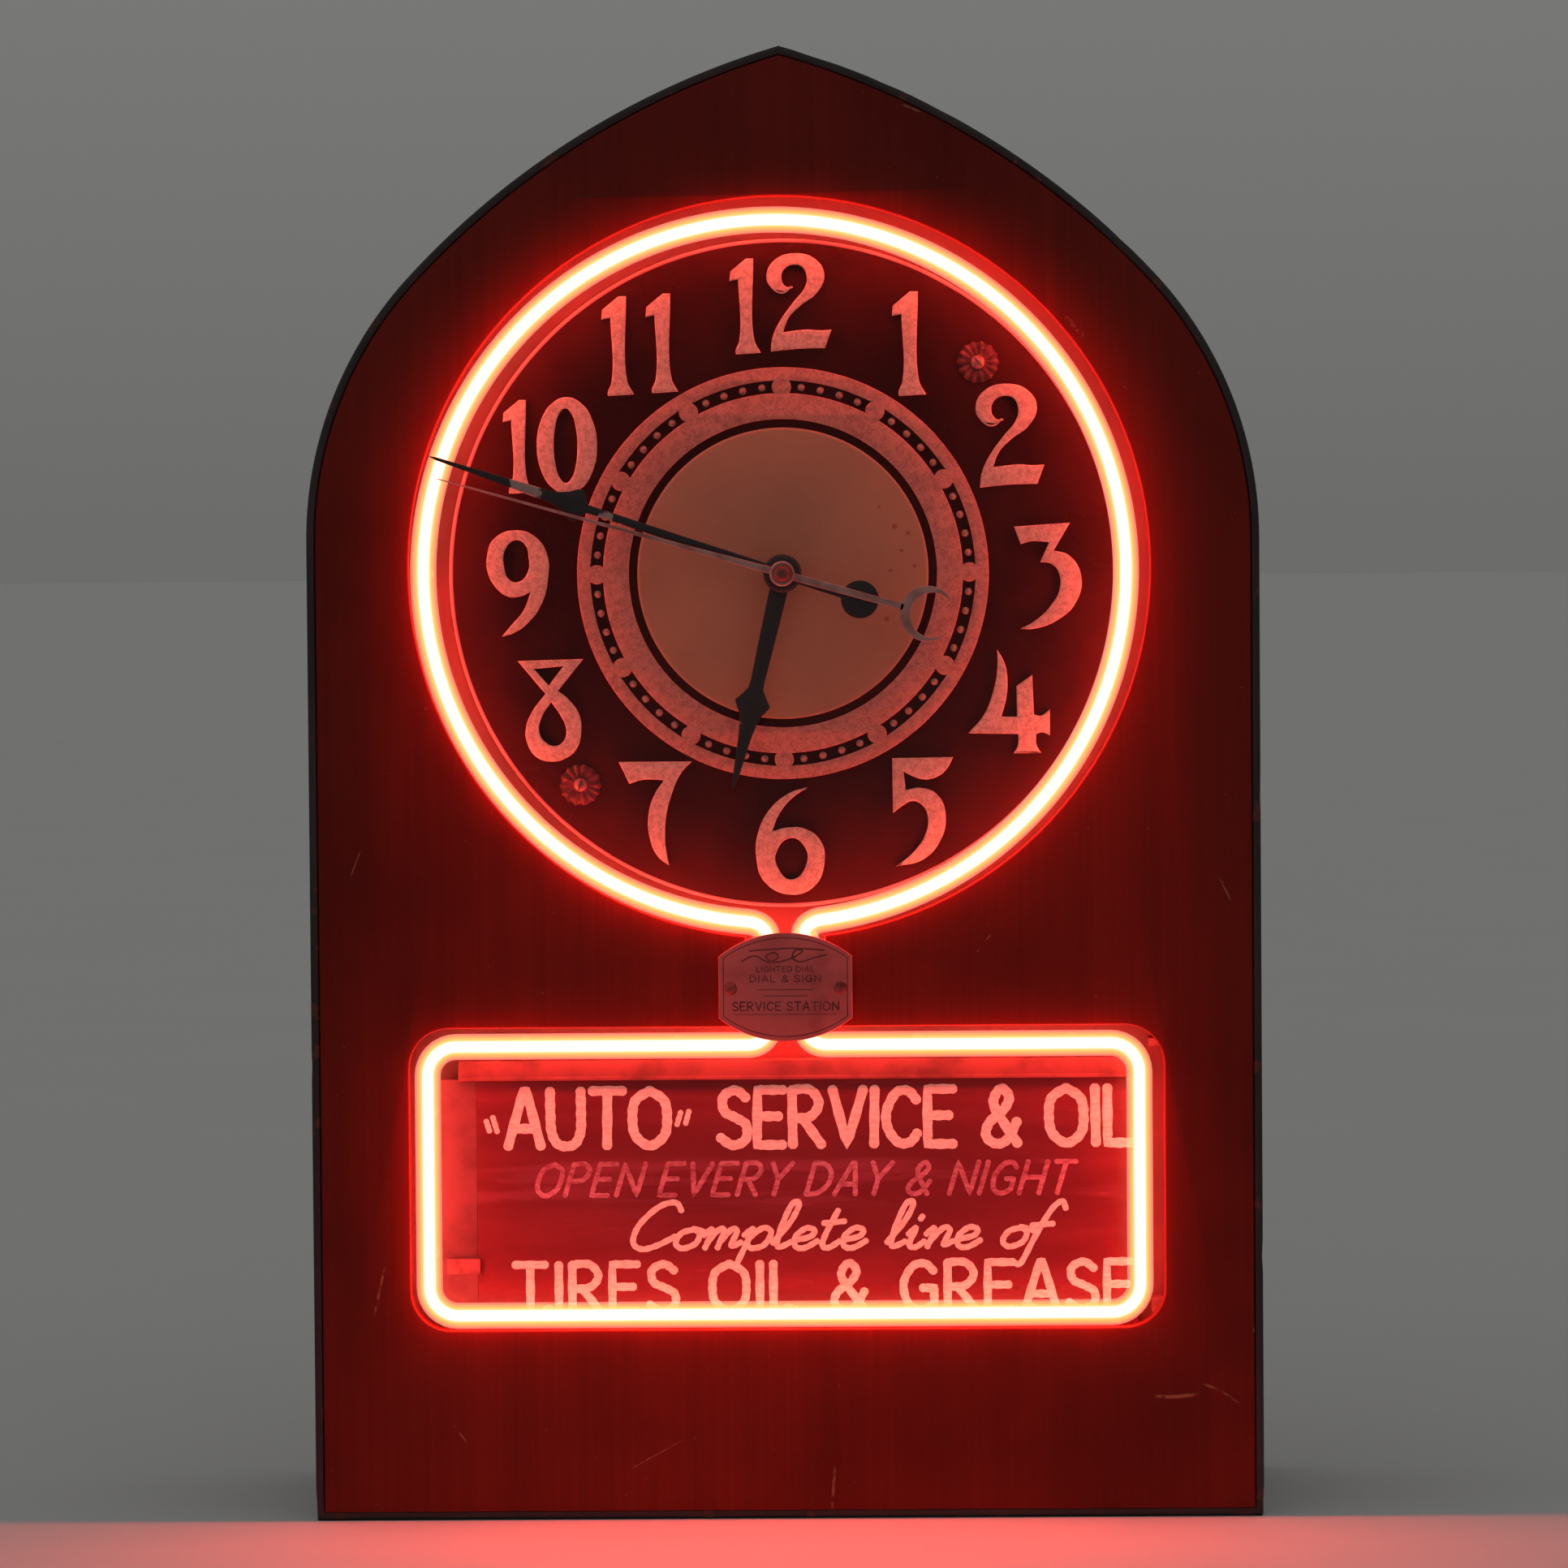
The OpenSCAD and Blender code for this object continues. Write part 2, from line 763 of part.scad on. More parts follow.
module transformer_screws() {
    color("#8b8578")
        for (x = [can_x - 6, can_x + can.x + 6], deep = [can_front + 18, can_front + can.y - 18])
            translate([x, front_y + deep, 12])
                cylinder(h = 3, r = 4.5);
}

module high_voltage_leads() {
    top = 10 + can.z + 26;
    color("#b8342a") {
        bent([[8.5, 104, 262], [8.5, 132, 262, 14], [70, 132, 200, 14], [70, 132, 150, 14],
              [70, 90, 150, 14], [70, 90, top]], 3);
        bent([[9.5, 104, 226], [9.5, 132, 226, 14], [9.5, 132, 150, 14], [9.5, 90, 150, 14],
              [9.5, 90, top]], 3);
    }
}

module terminal_block() {
    color("#3c2a1e")
        block(-140, -90, 110, 130, 10, 22);
    color("#b98d3f")
        for (x = [-132, -122, -108, -98])
            translate([x, front_y + 120, 22])
                cylinder(h = 3, r = 3);
}

module primary_leads() {
    color("#202020")
        for (i = [0, 1])
            bent([[-90, 116 + 8 * i, 16], [-60 + 8 * i, 116 + 8 * i, 16, 6],
                  [-60 + 8 * i, 100 + 6 * i, 16, 6], [can_x - 16, 100 + 6 * i, 16, 3],
                  [can_x - 16, 96 + 6 * i, 26, 3], [can_x, 96 + 6 * i, 26]], 1.6);
}

module motor_leads() {
    color("#6b5a2a")
        for (i = [0, 1])
            bent([[-132 + 10 * i, 120, 25], [-132 + 10 * i, 120, 482 - 8 * i, 12],
                   [-132 + 10 * i, 80, 482 - 8 * i, 12],
                   [rotor_at.x - coil_half_w, 80, 482 - 8 * i]], 1.2);
}

module inlet_grommet() {
    color("#1c1c1c")
        difference() {
            union() {
                rod([-110, 45], cover_deep - 2, cover_deep + cover_t + 2, 9);
                rod([-110, 45], cover_deep - 2, cover_deep, 12);
                rod([-110, 45], cover_deep + cover_t, cover_deep + cover_t + 2, 12);
            }
            rod([-110, 45], 150, 170, inlet_r);
        }
}

// ---- Movement ----

plate_x = 38;
plate_z0 = -32;
plate_z1 = 48;
post_places = [for (x = [-34, 34], z = [-28, 44]) hub + [x, z]];

module movement_plate(deep, holes) {
    color("#c9a24a")
        slab(deep, deep + plate_t)
            difference() {
                translate(hub + [-plate_x, plate_z0])
                    square([2 * plate_x, plate_z1 - plate_z0]);
                for (h = holes)
                    translate([h[0], h[1]])
                        circle(h[2]);
            }
}

module movement_front_plate() {
    movement_plate(front_plate, [
        [hub.x, hub.y, cannon_r + run],
        [intermediate_at.x, intermediate_at.y, arbor_r + run],
        [set_at.x, set_at.y, set_shaft_r + run]
    ]);
}

module movement_back_plate() {
    movement_plate(back_plate, [
        [hub.x, hub.y, arbor_r + run],
        [intermediate_at.x, intermediate_at.y, arbor_r + run],
        [rotor_at.x, rotor_at.y, arbor_r + run],
        [set_at.x, set_at.y, set_shaft_r + run]
    ]);
}

module movement_pillars() {
    color("#d8b25a")
        for (p = post_places) {
            rod(p, panel_back, front_plate, 3);
            rod(p, front_plate + plate_t, back_plate, 3);
            rod(p, back_plate + plate_t, back_plate + plate_t + 2, 3.6);
        }
}

core_front = 66;
core_t = 12;

module motor_core() {
    color("#55585c")
        slab(core_front, core_front + core_t)
            translate(rotor_at)
                difference() {
                    translate([-17, -20])
                        square([34, 72]);
                    circle(14.3);
                    translate([-11, 20])
                        square([22, 24]);
                }
}

module motor_coil() {
    color("#7a3b22")
        difference() {
            block(rotor_at.x - coil_half_w, rotor_at.x + coil_half_w,
                  core_front - 0.4, core_front + core_t + 8,
                  rotor_at.y + 36, rotor_at.y + 60);
            block(rotor_at.x - 17, rotor_at.x + 17, core_front, core_front + core_t,
                  rotor_at.y + 44, rotor_at.y + 52);
        }
}

module rotor_can() {
    color("#c87a4a")
        difference() {
            rod(rotor_at, back_plate + plate_t, 86, 14);
            rod(rotor_at, back_plate, 72, arbor_r + run);
        }
}

module motion_stud() {
    color("#b0b0b0") {
        rod(motion_at, panel_back, front_plate, arbor_r);
    }
}

module rotor_pinion() {
    color("#c0c0c0") {
        wheel(rotor_at, seconds_deep - 1, 3.5, rotor_teeth, rotor_module, rotor_phase, 0.8);
        rod(rotor_at, seconds_deep - 1, 71, arbor_r);
    }
}

module seconds_wheel() {
    color("#d8b25a")
        difference() {
            wheel(hub, seconds_deep, gear_t, seconds_teeth, rotor_module, 0, arbor_r);
            web_holes(hub, seconds_deep, 9, 3);
        }
}

module seconds_arbor() {
    color("#c0c0c0") {
        rod(hub, -10, back_plate + plate_t + 1, arbor_r);
        wheel(hub, intermediate_deep - 1, 3, seconds_leaves, seconds_module, 0, 0.8);
    }
}

module intermediate_wheel() {
    color("#d8b25a") {
        difference() {
            wheel(intermediate_at, intermediate_deep, gear_t, intermediate_teeth, seconds_module,
                  intermediate_phase, 0.8);
            web_holes(intermediate_at, intermediate_deep, 11, 3.6);
        }
        wheel(intermediate_at, centre_deep - 1, 3.2, intermediate_leaves, centre_module, 0, 0.8);
        rod(intermediate_at, front_plate + 0.2, back_plate + plate_t - 0.2, arbor_r);
    }
}

module centre_wheel() {
    color("#d8b25a")
        difference() {
            wheel(hub, centre_deep, gear_t, centre_teeth, centre_module, centre_phase, cannon_r);
            web_holes(hub, centre_deep, 12, 4);
        }
}

module minute_arbor() {
    color("#c0c0c0") {
        pipe(hub, -7, centre_deep + 1.5, cannon_r, arbor_r + run);
        wheel(hub, motion_deep - 0.5, 2.5, cannon_leaves, cannon_module, 0, cannon_r - 0.2);
    }
}

module motion_wheel() {
    color("#d8b25a") {
        wheel(motion_at, motion_deep, 1.5, motion_teeth, cannon_module, motion_phase, arbor_r + run);
        wheel(motion_at, hour_wheel_deep - 0.3, motion_deep - hour_wheel_deep + 0.3, motion_leaves,
              hour_module, 0, arbor_r + run);
    }
}

module hour_wheel() {
    color("#d8b25a") {
        wheel(hub, hour_wheel_deep, 1.5, hour_teeth, hour_module, hour_phase, cannon_r + run);
        pipe(hub, 1, hour_wheel_deep + 1, pipe_r, cannon_r + run);
    }
}

module set_shaft() {
    color("#c0c0c0") {
        rod(set_at, motion_deep - 0.5, 156, set_shaft_r);
        wheel(set_at, motion_deep - 0.5, 2.5, set_leaves, cannon_module, set_phase, 1);
    }
}

module set_knob() {
    color("#1d1d1f")
        difference() {
            union() {
                rod(set_at, 151, 164, 9);
                for (a = [0:20:359])
                    rod(set_at + 9 * [cos(a), sin(a)], 154, 164, 1, $fn = 16);
            }
            rod(set_at, 150, 156, set_shaft_r);
        }
}

// ---- Hands, each drawn pointing to twelve ----

module hand(deep_0, deep_1, turn) {
    slab(deep_0, deep_1)
        translate(hub)
            rotate(-turn)
                children();
}

module hour_hand() {
    color("#17110f")
        hand(1, 2.2, hour_at)
            difference() {
                union() {
                    polygon([[-4, -16], [4, -16], [3.2, 45], [9, 60], [6, 72], [1, hour_len],
                             [-1, hour_len], [-6, 72], [-9, 60], [-3.2, 45]]);
                    circle(9);
                }
                circle(pipe_r);
            }
}

module minute_hand() {
    color("#1c1614") {
        hand(-6.4, -5.2, minute_at)
            difference() {
                union() {
                    polygon([[-3, -36], [3, -36], [2.6, 78], [10.5, 96], [6, 112], [0.8, minute_len],
                             [-0.8, minute_len], [-6, 112], [-10.5, 96], [-2.6, 78]]);
                    circle(8.5);
                    translate([0, -37])
                        circle(8.4);
                }
                circle(cannon_r);
            }
        pipe(hub, -7.2, -6.4, 6.5, cannon_r);
    }
}

module second_hand() {
    color("#a8a29a") {
        hand(-9.2, -8.4, second_at)
            difference() {
                union() {
                    polygon([[-1.4, -58], [1.4, -58], [0.4, second_len], [-0.4, second_len]]);
                    circle(5.5);
                    translate([0, -68])
                        difference() {
                            circle(11);
                            translate([0, -6])
                                circle(9.5);
                        }
                }
                circle(arbor_r);
            }
    }
}

module hub_cap() {
    color("#c9c4ba")
        difference() {
            rod(hub, -12.5, -9.2, 3, 4.2);
            rod(hub, -10, -9, arbor_r);
        }
}

front_board();
edge_bead();
case_shell();
base_board();
front_battens();
arch_blocks();
back_frame();
back_cover();
back_screws();
inner_panel();
panel_screws();
dial_plate();
dial_numerals();
dial_rosettes();
dial_screws();
dial_standoffs();
neon_tube();
tube_electrodes();
electrode_sleeves();
tube_supports();
badge();
badge_spacers();
badge_screws();
sign_panel();
sign_rails();
sign_side_strip();
sign_clips();
transformer_can();
transformer_bushings();
transformer_screws();
high_voltage_leads();
terminal_block();
primary_leads();
motor_leads();
inlet_grommet();
movement_front_plate();
movement_back_plate();
movement_pillars();
motor_core();
motor_coil();
rotor_can();
motion_stud();
hour_hand();
hour_wheel();
minute_hand();
minute_arbor();
centre_wheel();
second_hand();
seconds_arbor();
seconds_wheel();
hub_cap();
intermediate_wheel();
motion_wheel();
set_shaft();
set_knob();
rotor_pinion();
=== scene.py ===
import math
import random

import bpy
from mathutils import Matrix, Vector


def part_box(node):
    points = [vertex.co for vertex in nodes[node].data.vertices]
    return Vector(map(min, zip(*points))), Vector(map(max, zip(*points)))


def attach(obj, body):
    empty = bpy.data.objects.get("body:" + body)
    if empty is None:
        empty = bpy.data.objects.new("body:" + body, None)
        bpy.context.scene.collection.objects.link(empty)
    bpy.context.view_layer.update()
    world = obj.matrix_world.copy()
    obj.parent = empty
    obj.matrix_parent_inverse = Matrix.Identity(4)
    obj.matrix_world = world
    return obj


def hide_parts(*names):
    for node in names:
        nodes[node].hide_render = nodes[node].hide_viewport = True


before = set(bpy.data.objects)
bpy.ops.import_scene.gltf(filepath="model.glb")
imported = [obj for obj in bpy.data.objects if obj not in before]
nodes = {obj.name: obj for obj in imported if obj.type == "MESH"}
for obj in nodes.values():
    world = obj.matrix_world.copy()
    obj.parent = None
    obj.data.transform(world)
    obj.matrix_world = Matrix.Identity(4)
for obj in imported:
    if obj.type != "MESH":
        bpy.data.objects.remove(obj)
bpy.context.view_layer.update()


# ---- Front board ----
# A mahogany veneered plywood board, sawn to a pointed arch with a round window for the dial, a wide
# one for the sign and a small slot behind the badge. Its grain runs upright, and the window edges are
# eased with sandpaper. It is nailed and glued to the front of the case.

MM = 0.001
front_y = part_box("front_board")[0][1]
half_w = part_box("case_shell")[1][0] / MM
hub_low, hub_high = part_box("dial_plate")
hub = ((hub_low[0] + hub_high[0]) / 2 / MM, (hub_low[2] + hub_high[2]) / 2 / MM)

spring_z = 446.0
shoulder_r = 175.0
shoulder_turn = math.radians(43)
crown_r = 370.0
bead_w = 4.0
board_t = 10.0
dial_window = (-1.6, 433.0, 168.0)
sign_window = (0.0, 155.7, 343.0, 137.8, 18.0)
slot_w = 36.0


def arc(x, z, r, a0, a1, steps):
    turns = [a0 + (a1 - a0) * i / steps for i in range(steps + 1)]
    return [(x + r * math.cos(a), z + r * math.sin(a)) for a in turns]


def arch(inset, low, side_steps=1):
    sx, sz = half_w - shoulder_r, spring_z
    cx = sx - (crown_r - shoulder_r) * math.cos(shoulder_turn)
    cz = sz - (crown_r - shoulder_r) * math.sin(shoulder_turn)
    top = math.acos(-cx / (crown_r - inset))
    side = [(half_w - inset, low + (spring_z - low) * i / side_steps) for i in range(side_steps)]
    right = side + arc(sx, sz, shoulder_r - inset, 0, shoulder_turn, 28)
    right += arc(cx, cz, crown_r - inset, shoulder_turn, top, 28)[1:]
    return right + [(-x, z) for x, z in reversed(right[:-1])]


def rounded(x, z, w, h, r, steps=10):
    out = []
    for k, (sx, sz) in enumerate([(1, 1), (-1, 1), (-1, -1), (1, -1)]):
        start = k * math.pi / 2
        out += arc(x + sx * (w / 2 - r), z + sz * (h / 2 - r), r, start, start + math.pi / 2, steps)
    return out


def alone(piece):
    if bpy.context.object and bpy.context.object.mode != "OBJECT":
        bpy.ops.object.mode_set(mode="OBJECT")
    bpy.ops.object.select_all(action="DESELECT")
    piece.select_set(True)
    bpy.context.view_layer.objects.active = piece


def settle(piece):
    alone(piece)
    bpy.ops.object.transform_apply(location=True, rotation=True, scale=True)


def close_up(piece, angle=35, gap=1e-6):
    alone(piece)
    bpy.ops.object.mode_set(mode="EDIT")
    bpy.ops.mesh.select_all(action="SELECT")
    bpy.ops.mesh.remove_doubles(threshold=gap)
    bpy.ops.mesh.normals_make_consistent(inside=False)
    bpy.ops.object.mode_set(mode="OBJECT")
    bpy.ops.object.shade_smooth_by_angle(angle=math.radians(angle))


def modify(piece, kind, **settings):
    alone(piece)
    step = piece.modifiers.new(kind.title(), kind)
    for key, value in settings.items():
        setattr(step, key, value)
    bpy.ops.object.modifier_apply(modifier=step.name)


def plate(name, outlines, deep_0, deep_1, edge=0.0, rounds=2, smooth=False, angle=35):
    """Flat outlines in mm, holes among them, spread from one depth behind the front face to another. In a
    smooth one, a point with a third value is a corner."""
    curve = bpy.data.curves.new(name, "CURVE")
    curve.dimensions = "2D"
    curve.fill_mode = "BOTH"
    for outline in outlines:
        spline = curve.splines.new("BEZIER" if smooth else "POLY")
        points = spline.bezier_points if smooth else spline.points
        points.add(len(outline) - 1)
        spline.use_cyclic_u = True
        for point, place in zip(points, outline):
            if smooth:
                point.co = (place[0] * MM, place[1] * MM, 0)
                point.handle_left_type = point.handle_right_type = "VECTOR" if len(place) > 2 else "AUTO"
            else:
                point.co = (place[0] * MM, place[1] * MM, 0, 1)
    curve.resolution_u = 8
    curve.extrude = ((deep_1 - deep_0) / 2 - edge) * MM
    curve.bevel_depth = edge * MM
    curve.bevel_resolution = rounds
    curve.offset = -edge * MM
    piece = bpy.data.objects.new(name, curve)
    bpy.context.collection.objects.link(piece)
    alone(piece)
    bpy.ops.object.convert(target="MESH")
    piece = bpy.context.object
    piece.rotation_euler.x = math.pi / 2
    piece.location.y = front_y + (deep_0 + deep_1) / 2 * MM
    settle(piece)
    close_up(piece, angle)
    return piece


class Value:
    """A number on a surface. Arithmetic on it adds Math nodes to the same finish."""

    def __init__(self, finish, socket):
        self.finish, self.socket = finish, socket

    def maths(self, operation, *parts):
        return self.finish.node("Math", {"operation": operation}, dict(enumerate(parts)))

    def __add__(self, other):
        return self.maths("ADD", self, other)

    def __sub__(self, other):
        return self.maths("SUBTRACT", self, other)

    def __rsub__(self, other):
        return self.maths("SUBTRACT", other, self)

    def __mul__(self, other):
        return self.maths("MULTIPLY", self, other)

    def __abs__(self):
        return self.maths("ABSOLUTE", self)

    __radd__ = __add__
    __rmul__ = __mul__

    def most(self, other):
        return self.maths("MAXIMUM", self, other)

    def root(self):
        return self.maths("SQRT", self)

    def ramp(self, low, high, to_low=0.0, to_high=1.0):
        settings = {"interpolation_type": "SMOOTHSTEP"}
        return self.finish.node("MapRange", settings, {0: self, 1: low, 2: high, 3: to_low, 4: to_high})


class Finish:
    """One material: a Principled shader and the nodes that vary it over the surface."""

    def __init__(self, name, **fixed):
        self.material = bpy.data.materials.new(name)
        self.material.use_nodes = True
        self.tree = self.material.node_tree
        self.shader = self.tree.nodes["Principled BSDF"]
        self.place = self.node("TexCoord", out=3)
        for socket, value in fixed.items():
            self.set(socket.replace("_", " ").title().replace("Ior", "IOR"), value)

    def node(self, kind, settings=None, inputs=None, out=0):
        made = self.tree.nodes.new("ShaderNode" + kind)
        for key, value in (settings or {}).items():
            setattr(made, key, value)
        for key, value in (inputs or {}).items():
            self.plug(value, made.inputs[key])
        return Value(self, made.outputs[out])

    def plug(self, value, socket):
        if isinstance(value, Value):
            self.tree.links.new(value.socket, socket)
        else:
            is_colour = isinstance(value, tuple) and len(value) == 3 and socket.type == "RGBA"
            socket.default_value = (*value, 1.0) if is_colour else value

    def set(self, socket, value):
        self.plug(value, self.shader.inputs[socket])
        return self

    def axis(self, which):
        return self.node("SeparateXYZ", None, {0: self.place}, "XYZ".index(which))

    def noise(self, scale, detail=3.0, stretch=(1, 1, 1), shift=(0, 0, 0)):
        moved = self.node("Mapping", None, {"Vector": self.place, "Scale": stretch, "Location": shift})
        return self.node("TexNoise", None, {"Vector": moved, "Scale": scale, "Detail": detail})

    def cells(self, scale, stretch=(1, 1, 1)):
        moved = self.node("Mapping", None, {"Vector": self.place, "Scale": stretch})
        return self.node("TexVoronoi", None, {"Vector": moved, "Scale": scale})

    def mix(self, low, high, factor):
        return self.node("Mix", {"data_type": "RGBA"}, {0: factor, 6: low, 7: high}, 2)

    def bump(self, height, depth_mm, strength=1.0):
        inputs = {"Height": height, "Distance": depth_mm * MM, "Strength": strength}
        return self.set("Normal", self.node("Bump", None, inputs))

    def scratch(self, x, z, length, tilt, width, bow=0.0):
        """A worn line across the board, one where it is bare: its middle, length, tilt and width in mm."""
        dx, dz = self.axis("X") * 1000 - x, self.axis("Z") * 1000 - z
        along = dx * math.cos(tilt) + dz * math.sin(tilt)
        across = dz * math.cos(tilt) - dx * math.sin(tilt) + along * along * bow
        ends = abs(along).ramp(length * 0.3, length * 0.5, 1, 0)
        return abs(across).ramp(width * 0.2, width, 1, 0) * ends


def dress(piece, finish, body, slot, *replaced):
    piece.data.materials.clear()
    piece.data.materials.append(finish.material)
    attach(piece, body)
    if replaced:
        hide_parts(*replaced)


def mahogany(name, dark, light, marks=()):
    wood = Finish(name, roughness=0.5, specular_ior_level=0.12)
    fine = wood.noise(1.0, 5.0, (420, 420, 7))
    broad = wood.noise(1.0, 3.0, (38, 38, 3))
    cloud = wood.noise(9.0, 3.0)
    grain = (fine * 0.5 + broad * 0.5).ramp(0.24, 0.78)
    colour = wood.mix(dark, light, grain)
    colour = wood.mix(colour, tuple(c * 0.62 for c in dark), cloud.ramp(0.46, 0.72) * 0.55)
    worn = wood.noise(330.0, 2.0).ramp(0.75, 0.79) * 0.35
    for mark in marks:
        worn = worn.most(wood.scratch(*mark) * wood.noise(260.0, 2.0).ramp(0.36, 0.6))
    wood.set("Base Color", wood.mix(colour, (0.33, 0.12, 0.07), worn))
    wood.set("Roughness", cloud.ramp(0.3, 0.7, 0.34, 0.5) + worn * 0.2)
    wood.bump(fine * 0.4 + worn * -1.0, 0.12, 0.4)
    return wood


board_marks = [
    (20, 14, 22, 1.5, 0.9), (176, 55, 22, 0.05, 1.2, -0.008), (197, 57, 20, -0.5, 0.8, 0.01),
    (213, 88, 10, 1.2, 0.9), (199, 287, 16, -1.1, 0.5), (-186, 105, 26, 1.35, 0.7),
    (-207, 522, 9, 0.9, 0.8), (133, 541, 14, -0.8, 1.4), (-60, 30, 30, 0.5, 0.4), (90, 262, 12, 0.9, 0.4),
    (-195, 300, 14, 1.2, 0.4), (60, 640, 10, -0.4, 0.6), (-150, 40, 12, 2.2, 0.5),
]
mahogany_front = mahogany("mahogany_front", (0.138, 0.0086, 0.0044), (0.198, 0.0126, 0.0066), board_marks)


def window_outline():
    """The dial's round window, the slot under it and the sign's window, sawn as one opening."""
    wx, wz, wr = dial_window
    turns = [math.acos((s * slot_w / 2 - wx) / wr) for s in (1, -1)]
    corners = rounded(*sign_window)
    quarter = len(corners) // 4
    top = sign_window[1] + sign_window[3] / 2
    return (arc(wx, wz, wr, -turns[0], 2 * math.pi - turns[1], 120) + [(-slot_w / 2, top)]
            + corners[quarter:] + corners[:quarter] + [(slot_w / 2, top)])


board = plate("veneered_board", [arch(bead_w, bead_w), window_outline()], 0, board_t, 0.9, 3)
dress(board, mahogany_front, "case", "painted_wood", "front_board")


# ---- Edge bead ----
# A narrow strip glued round the board's edge, painted near black and rounded over by years of handling.
# The paint is chipped to brown wood, most of all beside the point of the arch.

def chipped_paint(name, paint, under, rough=0.45):
    coat = Finish(name, roughness=rough)
    chips = coat.noise(95.0, 4.0).ramp(0.62, 0.66)
    dust = coat.noise(14.0, 3.0)
    colour = coat.mix(paint, tuple(c * 2.2 + 0.004 for c in paint), dust.ramp(0.4, 0.75))
    coat.set("Base Color", coat.mix(colour, under, chips))
    coat.set("Roughness", rough + chips * 0.3)
    coat.bump(coat.noise(160.0, 3.0) * 0.5 - chips, 0.35, 0.6)
    return coat


bead = plate("edge_strip", [arch(0, 0, 60), arch(bead_w, bead_w, 60)], 0, board_t, 1.6, 4)
# Each chip: its middle in mm, its reach and its depth
chip_places = [(16, 662, 7, 0.9), (44, 646, 9, 1.2), (70, 640, 5, 0.7), (-120, 603, 5, 0.6),
               (150, 580, 6, 0.8), (-214, 500, 5, 0.6), (215, 330, 6, 0.7), (-216, 210, 5, 0.6),
               (216, 120, 7, 0.8), (-215, 3, 8, 1.6), (215, 3, 8, 1.6), (-60, 1, 6, 0.6), (90, 1, 6, 0.5)]
for vertex in bead.data.vertices:
    vx, vz = vertex.co.x / MM, vertex.co.z / MM
    for cx, cz, reach, depth in chip_places:
        near = 1 - math.hypot(vx - cx, vz - cz) / reach
        if near > 0 and vertex.co.y < front_y + 6 * MM:
            vertex.co.y += depth * near * MM
            vertex.co.x -= math.copysign(min(abs(vx) / half_w, 1) * depth * near * 0.5 * MM, vx)
            vertex.co.z += (0.4 if vz < 60 else -0.5) * depth * near * MM
dress(bead, chipped_paint("chipped_edge_paint", (0.010, 0.0055, 0.0055), (0.07, 0.022, 0.014)),
      "case", "dark_bead", "edge_bead")


# ---- Case ----
# The sides are one bent sheet of stained plywood from foot to point, with a softwood floor board,
# battens and curved blocks glued inside, and a frame at the back that takes the cover's screws.

side_wood = mahogany("stained_side_ply", (0.050, 0.0150, 0.0090), (0.092, 0.0290, 0.0160),
                     [(0, 300, 30, 0.8, 0.6), (10, 120, 40, 1.3, 0.5)])


def softwood(name, dark, light, stretch):
    wood = Finish(name, roughness=0.75)
    rings = wood.noise(1.0, 4.0, stretch)
    knots = wood.noise(5.0, 2.0, shift=(3, 1, 7)).ramp(0.66, 0.74)
    colour = wood.mix(dark, light, rings.ramp(0.35, 0.65))
    wood.set("Base Color", wood.mix(colour, tuple(c * 0.35 for c in dark), knots))
    wood.set("Roughness", rings.ramp(0.3, 0.7, 0.65, 0.82))
    wood.bump(rings, 0.2, 0.5)
    return wood


upright_pine = softwood("pine_upright", (0.30, 0.17, 0.08), (0.48, 0.31, 0.17), (150, 150, 5))
floor_pine = softwood("pine_floor", (0.20, 0.12, 0.07), (0.36, 0.23, 0.13), (5, 150, 150))


def finish_node(name, finish):
    nodes[name].data.materials.clear()
    nodes[name].data.materials.append(finish.material)


finish_node("case_shell", side_wood)
finish_node("base_board", floor_pine)
for name in ("front_battens", "arch_blocks", "back_frame"):
    finish_node(name, upright_pine)


# ---- Back cover ----
# A hardboard sheet with rows of vent slots, held by twelve round headed screws. It is brown and a
# little blotched by heat and damp.

hardboard = Finish("hardboard", roughness=0.72)
fibres = hardboard.noise(1.0, 5.0, (900, 900, 500))
blotch = hardboard.noise(7.0, 4.0)
stain = hardboard.noise(3.0, 3.0, shift=(5, 2, 1)).ramp(0.55, 0.75)
tone = hardboard.mix((0.125, 0.062, 0.030), (0.235, 0.125, 0.062), blotch.ramp(0.3, 0.7))
tone = hardboard.mix(tone, (0.05, 0.026, 0.016), stain * 0.6)
hardboard.set("Base Color", hardboard.mix(tone, (0.30, 0.18, 0.10), fibres.ramp(0.6, 0.75) * 0.5))
hardboard.set("Roughness", blotch.ramp(0.3, 0.7, 0.6, 0.82))
hardboard.bump(fibres, 0.12, 0.5)
finish_node("back_cover", hardboard)


def metal(name, base, tarnish, rough, scale=60.0, shine=1.0):
    part = Finish(name, metallic=shine)
    patches = part.noise(scale, 4.0).ramp(0.42, 0.68)
    fine = part.noise(scale * 14, 2.0)
    part.set("Base Color", part.mix(base, tarnish, patches))
    part.set("Roughness", rough + patches * 0.18 + fine * 0.08)
    part.bump(fine, 0.03, 0.5)
    return part


plated_steel = metal("plated_steel", (0.50, 0.48, 0.45), (0.20, 0.16, 0.13), 0.30)


def wire(name, lines, r=0.0, rounds=0):
    """Lines of (x, y, z, share of the radius) in metres made a mesh, round and capped if it has a radius."""
    curve = bpy.data.curves.new(name, "CURVE")
    curve.dimensions = "3D"
    curve.bevel_depth = r
    curve.bevel_resolution = rounds
    curve.use_fill_caps = r > 0
    for line in lines:
        spline = curve.splines.new("POLY")
        spline.points.add(len(line) - 1)
        for point, (x, y, z, share) in zip(spline.points, line):
            point.co = (x, y, z, 1)
            point.radius = share
    piece = bpy.data.objects.new(name, curve)
    bpy.context.collection.objects.link(piece)
    alone(piece)
    bpy.ops.object.convert(target="MESH")
    return bpy.context.object


